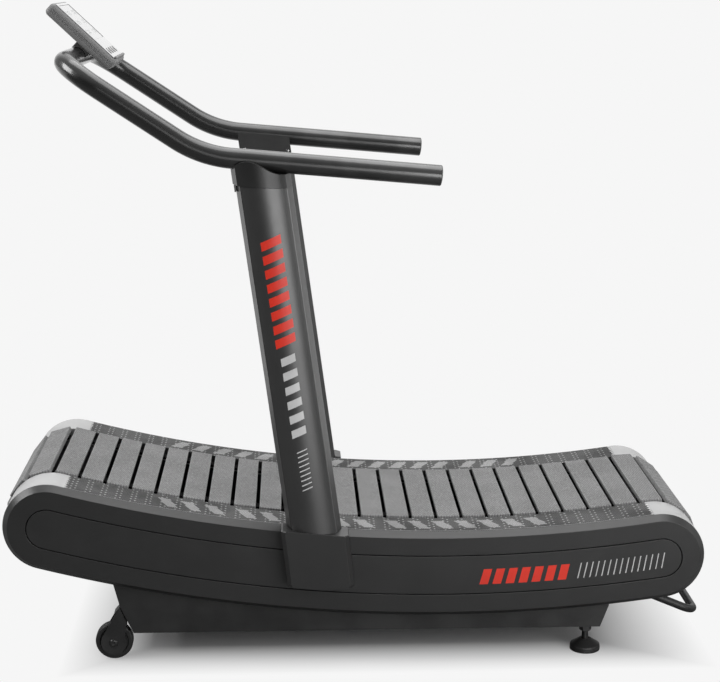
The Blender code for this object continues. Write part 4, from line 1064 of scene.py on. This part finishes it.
def build_console():
    """Monitor with a ribbed edge, a glossy fascia round a smoked window, and a device ledge."""
    half = CONSOLE_SIZE[2] / 2
    shell = rounded_slab("console_shell", CONSOLE_SIZE, CONSOLE_CORNER, console_levels())
    lens_low, lens_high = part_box("console_lens")
    window = (WINDOW_LENGTH, lens_high.y - lens_low.y)
    soften(carve(shell, window_tool(window, half - 0.0025), *button_tools(BUTTON_WELL)), 0.0004, 2, 50.0)
    place_piece(move_mesh(shell, console_place()), "console", "console_housing")
    wrap = [math.radians(angle) for angle in (30, 20, 10, 0)]
    film = [(half + 0.0003 - CONSOLE_CORNER * (1 - math.cos(angle)), CONSOLE_CORNER * (1 - math.sin(angle)))
            for angle in wrap]
    fascia = rounded_slab("console_fascia", (CONSOLE_SIZE[0] - 0.002, CONSOLE_SIZE[1] + 0.0004),
                          CONSOLE_CORNER, film)
    carve(fascia, window_tool(window, half - 0.01), *button_tools(BUTTON_WELL + 0.0006))
    place_piece(move_mesh(fascia, console_place()), "lens")
    lens = rounded_slab("display_window", window, 0.0055,
                        [(half - 0.0022, 0.0), (half - 0.0009, 0.0), (half - 0.0004, 0.0005),
                         (half - 0.0003, 0.0012)])
    place_piece(move_mesh(lens, console_place(LENS_SHIFT)), "lens", "console_lens")
    build_display(LENS_SHIFT, half - 0.0002)
    build_buttons()
    edge = CONSOLE_SIZE[0] / 2 - CONSOLE_CORNER
    ledge = prism("device_ledge", rounded([(edge - 0.001, half - 0.0002), (edge - 0.001, half + 0.0044),
                                           (edge + 0.0052, half + 0.0052), (edge + 0.0062, half - 0.0014)],
                                          [0.0, 0.0012, 0.0016, 0.0]), -0.104, 0.104)
    soften(ledge, 0.001, 3)
    place_piece(move_mesh(ledge, console_place()), "console")
    build_bracket()


def window_tool(window, low):
    """The window's recess, from a height upwards."""
    tool = rounded_slab("recess", [side + 0.0006 for side in window], 0.006, [(low, 0.0), (low + 0.03, 0.0)])
    return move_mesh(tool, Matrix.Translation((LENS_SHIFT, 0.0, 0.0)))


def button_tools(radius):
    """Round wells for the buttons."""
    profile = [(0.0, 0.01), (radius, 0.01), (radius, -0.0060), (0.0, -0.0060)]
    tools = []
    for number in BUTTONS:
        across = middle_of("console_button_%d" % number).y
        tools.append(turned("well", profile, (BUTTON_SHIFT, across, CONSOLE_SIZE[2] / 2), (0, 0, 1), 40))
    return tools


def build_display(shift, height):
    """Rows of seven-segment digits, all reading eight, on the window."""
    tall, wide, stroke = 0.0150, 0.0085, 0.0014
    lines = (-0.034, 0.0, 0.034)
    columns = (-0.078, -0.064, -0.046, -0.032, 0.032, 0.046, 0.064, 0.078)
    strokes = [(level * tall, 0.0, stroke, wide - 2 * stroke) for level in (-0.5, 0.0, 0.5)]
    strokes += [(level * tall, edge * wide, tall / 2 - 2 * stroke, stroke)
                for level in (-0.25, 0.25) for edge in (-0.5, 0.5)]
    bm = bmesh.new()
    for line, column, (a, b, length, width) in itertools.product(lines, columns, strokes):
        add_grid(bm, [[Vector((line + a + end * length / 2, column + b + edge * width / 2, height))
                       for edge in (-1, 1)] for end in (-1, 1)])
    bm.transform(console_place(shift))
    thin_sheet("display_segments", bm, "digits", 0.00006)


def build_buttons():
    profile = rounded([(0.0, 0.0013), (0.0060, 0.0016), (0.0085, 0.0017), (0.0100, 0.0008),
                       (0.0100, -0.0040), (0.0, -0.0040)],
                      [0.0, 0.004, 0.001, 0.0006, 0.0, 0.0], closed=False)
    for number in BUTTONS:
        across = middle_of("console_button_%d" % number).y
        button = turned("button_cap_%d" % number, profile, (0, 0, 0), (0, 0, 1), 40)
        move_mesh(button, console_place(BUTTON_SHIFT, across, CONSOLE_SIZE[2] / 2))
        place_piece(button, "button", "console_button_%d" % number, body="button_%d" % number)


def build_bracket():
    """Block between the cross bar and the console, with two clamp screws."""
    dress("console_bracket", "dark_steel", 0.002, 3, 40.0)
    profile = rounded([(0.0, 0.0040), (0.0045, 0.0036), (0.0060, 0.0), (0.0, 0.0)],
                      [0.0, 0.0012, 0.0004, 0.0], closed=False)
    for number, across in enumerate((-0.030, 0.030), start=1):
        screw = turned("bracket_screw_%d" % number, profile, (0, 0, 0), (1, 0, 0), 32)
        move_mesh(screw, console_place(0.040, across, -CONSOLE_SIZE[2] / 2 - 0.012))
        place_piece(screw, "steel")


# ---- wheels, feet, lift handle
def build_wheels():
    """Transport wheels with a tread groove and ribbed hub, their forks and axle bolts."""
    for hand, side in SIDES:
        low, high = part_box("transport_wheel_" + hand)
        place = (low + high) / 2
        half = (high.y - low.y) / 2
        radius = (high.z - low.z) / 2
        points = [(0.0063, half), (0.0150, half), (0.0170, half - 0.004), (0.0350, half - 0.004),
                  (0.0370, half - 0.001), (radius - 0.003, half - 0.001), (radius, half - 0.004),
                  (radius, 0.002), (radius - 0.0012, 0.0012)]
        radii = [0.0, 0.0008, 0.001, 0.001, 0.0006, 0.0015, 0.0015, 0.0004, 0.0]
        profile = rounded(mirrored(points), radii + radii[::-1], 3)
        wheel = turned("wheel_" + hand, profile, place, (0, side, 0), 72, bored=True)
        place_piece(wheel, "wheel", "transport_wheel_" + hand, body="wheel_" + hand)
        dress("wheel_bracket_" + hand, "frame", 0.0006, 2, 40.0)
        build_wheel_bolt(hand, side, place)


def build_wheel_bolt(hand, side, place):
    """Axle bolt with a washer face, a domed head and a hexagon socket."""
    low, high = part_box("wheel_bolt_" + hand)
    outer = high.y if side > 0 else -low.y
    tail = low.y if side > 0 else -high.y
    head = 0.0050
    profile = rounded([(0.0, head - 0.0032), (0.0033, head - 0.0030), (0.0036, head - 0.0003), (0.0055, head),
                       (0.0090, head - 0.0008), (0.0105, head - 0.0028), (0.0105, GAP), (0.0060, GAP),
                       (0.0060, tail - outer + head), (0.0, tail - outer + head)],
                      [0.0, 0.0, 0.0003, 0.001, 0.001, 0.0006, 0.0, 0.0, 0.0006, 0.0], closed=False)
    seat = Vector((place.x, side * (outer - head), place.z))
    bolt = turned("axle_bolt_" + hand, profile, seat, (0, side, 0))
    place_piece(bolt, "dark_steel", "wheel_bolt_" + hand)


def thread_profile(radius, low, high, pitch=0.0022):
    """Points down a threaded shank, between two heights."""
    depth = 0.0012
    ridge = ((radius, 0.15), (radius - depth, 0.50), (radius, 0.85))
    return [(reach, high - (index + share) * pitch)
            for index in range(int((high - low) / pitch)) for reach, share in ridge]


def build_feet():
    """Levelling feet: pad with a rubber rim, threaded stud and hexagonal lock nut."""
    for hand, _ in SIDES:
        low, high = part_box("foot_pad_" + hand)
        place = Vector(((low.x + high.x) / 2, (low.y + high.y) / 2, 0.0))
        radius = (high.x - low.x) / 2
        socket = 0.0110
        profile = rounded([(0.0, 0.0160), (socket, 0.0160), (socket, 0.0300), (0.0150, 0.0300),
                           (0.0175, 0.0280), (0.0330, 0.0180), (radius - 0.001, 0.0150), (radius, 0.0100),
                           (radius - 0.0012, 0.0092), (radius - 0.0012, 0.0080), (radius, 0.0070),
                           (radius, 0.0), (0.0, 0.0)],
                          [0.0, 0.0, 0.0008, 0.001, 0.002, 0.004, 0.0025, 0.0004, 0.0, 0.0, 0.0004,
                           0.001, 0.0], closed=False)
        pad = turned("foot_" + hand, profile, place, (0, 0, 1), 72)
        place_piece(pad, "wheel", "foot_pad_" + hand, body="foot_" + hand)
        low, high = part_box("foot_stud_" + hand)
        shank = [(0.0, high.z), (0.0076, high.z), *thread_profile(0.0088, 0.0240, high.z - 0.0008),
                 (0.0088, 0.0225), (0.0106, 0.0210), (0.0106, low.z), (0.0, low.z)]
        stud = turned("stud_" + hand, shank, place, (0, 0, 1), 40)
        place_piece(stud, "dark_steel", "foot_stud_" + hand, body="stud_" + hand, sharp=60.0)
        build_nut(hand, place)


def build_nut(hand, place):
    """Hexagonal nut with its corners chamfered top and bottom."""
    low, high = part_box("foot_nut_" + hand)
    flat = (high.y - low.y) / 2
    corner = flat / math.cos(math.pi / 6)
    bore = 0.0094
    count = 60
    rows = []
    for step in range(count):
        angle = 2 * math.pi * step / count
        sector = (angle + math.pi / 6) % (math.pi / 3) - math.pi / 6
        reach = flat / math.cos(sector)
        slope = (reach - flat) / (corner - flat) * 0.0016
        direction = Vector((math.cos(angle + math.pi / 2), math.sin(angle + math.pi / 2), 0.0))
        profile = [(bore, high.z), (flat - 0.0006, high.z), (reach, high.z - 0.0004 - slope),
                   (reach, low.z + 0.0004 + slope), (flat - 0.0006, low.z), (bore, low.z)]
        rows.append([place + direction * r + Z_AXIS * z for r, z in profile])
    nut = ring_object("nut_" + hand, rows)
    place_piece(nut, "dark_steel", "foot_nut_" + hand, sharp=20.0)


def build_lift_handle():
    """Bent bar with rounded ends."""
    low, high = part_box("lift_handle")
    bar_x, bar_z, y = high.x - LIFT_RADIUS, low.z + LIFT_RADIUS, high.y - LIFT_RADIUS
    leg = Vector((bar_x, 0.0, bar_z)) + LIFT_LEG
    corners = [leg - Y_AXIS * y, Vector((bar_x, -y, bar_z)), Vector((bar_x, y, bar_z)), leg + Y_AXIS * y]
    path = bent_path(corners, (0.040, 0.040), 16)
    rows = tube_rows(path, LIFT_RADIUS, 36)
    tips = []
    for place, following, ring in ((path[0], path[1], rows[0]), (path[-1], path[-2], rows[-1])):
        outward = (place - following).normalized() * 0.0015
        tips.append([place + (point - place) * 0.82 + outward for point in ring])
    place_piece(solid_object("lift_bar", [tips[0], *rows, tips[1]]), "frame", "lift_handle")


# ---- running gear and frame
def build_running_gear():
    """Shafts, ribbed pulleys and flanged bearings at both ends."""
    for end, centre, body in (("front", FRONT, "front_drum"), ("rear", REAR, "rear_drum")):
        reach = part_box(end + "_shaft")[1].y
        points = [(0.0, reach), (0.0125, reach), (0.0125, 0.262), (0.022, 0.262), (0.022, 0.2), (0.0165, 0.2)]
        radii = [0.0, 0.001, 0.0, 0.001, 0.001, 0.0]
        profile = rounded(mirrored(points), radii + radii[::-1], 2, closed=False)
        axle = turned(end + "_axle", profile, centre, (0, 1, 0), 40)
        place_piece(axle, "steel", end + "_shaft", body=body)
        for hand, side in SIDES:
            build_pulley(end, hand, side, body)
            build_bearing(end, hand, side)


def build_pulley(end, hand, side, body):
    node = "%s_pulley_%s" % (end, hand)
    low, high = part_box(node)
    half = (high.y - low.y) / 2
    radius = (high.z - low.z) / 2
    bore, hub, rim, web = 0.0168, 0.030, 0.082, 0.004
    grooves = []
    for index in range(1, BELT_RIBS):
        middle = half - index * 2 * half / BELT_RIBS
        grooves += [(radius, middle + 0.0014), (radius - 0.0014, middle), (radius, middle - 0.0014)]
    points = [(bore, half), (hub, half), (hub, web), (rim, web), (rim, half), (radius, half)]
    profile = mirrored(points, grooves)
    pulley = turned("pulley_%s_%s" % (end, hand), profile, middle_of(node), (0, side, 0), 72, bored=True)
    place_piece(pulley, "nylon", node, body=body)


def build_bearing(end, hand, side):
    node = "%s_bearing_%s" % (end, hand)
    low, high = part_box(node)
    outer = (high.y if side > 0 else -low.y) - (low.y if side > 0 else -high.y)
    profile = rounded([(0.0128, outer), (0.0260, outer), (0.0260, 0.0037), (0.0340, 0.0037), (0.0340, 0.0),
                       (0.0250, 0.0), (0.0240, 0.0012), (0.0190, 0.0012), (0.0180, 0.0), (0.0128, 0.0)],
                      [0.0, 0.0006, 0.0, 0.0008, 0.0008, 0.0, 0.0, 0.0, 0.0, 0.0], 2)
    base = low.y if side > 0 else -high.y
    place = middle_of(node)
    place.y = side * base
    bearing = turned("bearing_%s_%s" % (end, hand), profile, place, (0, side, 0), 48, bored=True)
    place_piece(bearing, "steel", node)


def dress_frame():
    dress("base_frame", "frame", 0.0012)
    # guide rails take the dark frame paint, partly as painted shade where they show between the slats
    dress("guide_rail_left", "frame", 0.0008)
    dress("guide_rail_right", "frame", 0.0008)


def build_cover_prints():
    """Slanted bars on the rear of each cover panel: a solid red group, then thin pale lines."""
    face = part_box("side_panel_right")[1].y
    middle, tall = 0.006, 0.040         # the bars' centre line under the sweep arc, and their height
    red = [(0.315 + 0.0330 * index, 0.0215) for index in range(7)]
    thin = [(0.563 + 0.0152 * index, 0.0026) for index in range(15)]
    for hand, side in SIDES:
        for finish, bars in (("red", red), ("pale", thin)):
            bm = bmesh.new()
            for x, width in bars:
                rows = []
                for step in range(7):
                    rise = tall * (step / 6 - 0.5)
                    row = []
                    for part in range(3):
                        place = x + PRINT_SLANT * rise + width * part / 2
                        angle = math.asin((place - SWEEP.x) / (SWEEP_RADIUS + middle))
                        reach = SWEEP_RADIUS + middle - rise
                        row.append(SWEEP - outward_at(angle) * reach + Y_AXIS * side * (face + PRINT_LIFT))
                    rows.append(row)
                add_grid(bm, rows)
            thin_sheet("cover_print_%s_%s" % (finish, hand), bm, finish, 0.0003)


# ---- stage, light and camera
BACKDROP = (0.922, 0.922, 0.922, 1.0)
FLOOR_COLOUR = (0.46, 0.46, 0.462)
FLOOR_FADE = {"X": ((-0.53, -0.76), (0.62, 0.92)), "Y": ((-0.20, -0.40), (0.28, 0.42))}   # where shadows end


def split_by_camera(tree, others, seen):
    """One shader for the camera's own rays and another for all other rays."""
    by_camera = add(tree, "ShaderNodeLightPath").outputs["Is Camera Ray"]
    return add(tree, "ShaderNodeMixShader", {0: by_camera, 1: others, 2: seen}).outputs[0]


def build_floor():
    """Pale floor: it takes shadows under the machine, is even further away, and dim in reflections."""
    bpy.ops.mesh.primitive_circle_add(vertices=96, radius=40.0, fill_type="NGON")
    floor = bpy.context.object
    floor.name = "floor"
    floor.location = (0.0, 0.0, -0.0005)
    material = bpy.data.materials.new("pale_floor")
    material.use_nodes = True
    tree = material.node_tree
    tree.nodes.clear()
    place = add(tree, "ShaderNodeTexCoord").outputs["Object"]
    parts = add(tree, "ShaderNodeSeparateXYZ", {0: place}).outputs
    beyond = [spread(tree, parts[axis], *ends) for axis in FLOOR_FADE for ends in FLOOR_FADE[axis]]
    even = math_node(tree, "MAXIMUM", math_node(tree, "MAXIMUM", *beyond[:2]),
                     math_node(tree, "MAXIMUM", *beyond[2:]))
    grains = spread(tree, noise(tree, place, 90.0), 0.3, 0.7, 0.985, 1.0)
    colour = blend_colour(tree, grains, shaded(FLOOR_COLOUR, 0.97), shaded(FLOOR_COLOUR, 1.0))
    lit = add(tree, "ShaderNodeBsdfDiffuse", {"Color": colour}).outputs[0]
    flat = add(tree, "ShaderNodeEmission", {"Color": BACKDROP, "Strength": 1.0}).outputs[0]
    seen = add(tree, "ShaderNodeMixShader", {0: even, 1: lit, 2: flat}).outputs[0]
    near = add(tree, "ShaderNodeBsdfDiffuse", {"Color": (0.16, 0.16, 0.16, 1.0)}).outputs[0]
    away = spread(tree, parts["Y"], 0.6, 1.8)
    dim = add(tree, "ShaderNodeMixShader", {0: away, 1: near, 2: flat}).outputs[0]
    add(tree, "ShaderNodeOutputMaterial", {"Surface": split_by_camera(tree, dim, seen)})
    floor.data.materials.append(material)


def build_world():
    """Even backdrop for the camera; for all else a white cyclorama behind and above the machine."""
    world = bpy.data.worlds.new("studio")
    bpy.context.scene.world = world
    world.use_nodes = True
    tree = world.node_tree
    tree.nodes.clear()
    direction = add(tree, "ShaderNodeTexCoord").outputs["Generated"]
    parts = add(tree, "ShaderNodeSeparateXYZ", {0: direction}).outputs
    narrow = spread(tree, math_node(tree, "ABSOLUTE", parts["X"]), 0.30, 0.60, 1.0, 0.35)
    behind = math_node(tree, "MULTIPLY", spread(tree, parts["Y"], -0.10, 0.55, 0.0, 1.15), narrow)
    above = spread(tree, parts["Z"], 0.25, 0.95, 0.06, 0.80)
    glow = math_node(tree, "MAXIMUM", behind, above)
    sky = add(tree, "ShaderNodeBackground", {"Color": (1.0, 1.0, 1.0, 1.0), "Strength": glow}).outputs[0]
    backdrop = add(tree, "ShaderNodeBackground", {"Color": BACKDROP, "Strength": 1.0}).outputs[0]
    add(tree, "ShaderNodeOutputWorld", {"Surface": split_by_camera(tree, sky, backdrop)})


def softbox(name, place, target, size, power):
    light = bpy.data.lights.new(name, "AREA")
    light.shape = "RECTANGLE"
    light.size, light.size_y = size
    light.energy = power
    lamp = bpy.data.objects.new(name, light)
    bpy.context.scene.collection.objects.link(lamp)
    lamp.location = place
    lamp.rotation_euler = (Vector(target) - Vector(place)).to_track_quat("-Z", "Y").to_euler()
    return lamp


def build_lights():
    softbox("overhead", (0.3, 0.4, 4.2), (0.0, 0.0, 0.4), (3.6, 2.6), 96.0)
    softbox("right_front", (1.50, -2.95, 1.10), (-0.1, -0.3, 0.75), (2.4, 1.9), 64.0)
    softbox("front", (0.6, -5.1, 1.2), (-0.1, -0.3, 0.8), (2.6, 2.0), 22.0)
    softbox("left", (-3.2, -0.5, 2.6), (-0.4, -0.3, 0.4), (1.6, 1.6), 75.0)
    softbox("right", (3.3, -0.7, 1.3), (0.0, -0.3, 0.4), (1.4, 1.6), 14.0)


CAMERA_PLACE = Vector((-0.1545, -4.5226, 1.7337))
CAMERA_TURN = math.radians(2.207)     # towards +X
CAMERA_DROP = math.radians(12.0)
CAMERA_LENS = 87.06                   # for a 36 mm wide sensor


def build_camera():
    camera = bpy.data.objects.new("camera", bpy.data.cameras.new("camera"))
    bpy.context.scene.collection.objects.link(camera)
    camera.location = CAMERA_PLACE
    level = math.cos(CAMERA_DROP)
    ahead = Vector((math.sin(CAMERA_TURN) * level, math.cos(CAMERA_TURN) * level, -math.sin(CAMERA_DROP)))
    camera.rotation_euler = ahead.to_track_quat("-Z", "Y").to_euler()
    camera.data.sensor_width = 36.0
    camera.data.lens = CAMERA_LENS
    bpy.context.scene.camera = camera


# ---- everything together
build_belt()
build_covers()
build_cover_prints()
build_rails()
build_end_caps()
build_uprights()
build_housings()
build_handlebar()
build_collars()
build_console()
build_wheels()
build_feet()
build_lift_handle()
build_running_gear()
dress_frame()
build_floor()
build_world()
build_lights()
build_camera()
bpy.context.scene.view_settings.view_transform = "Standard"
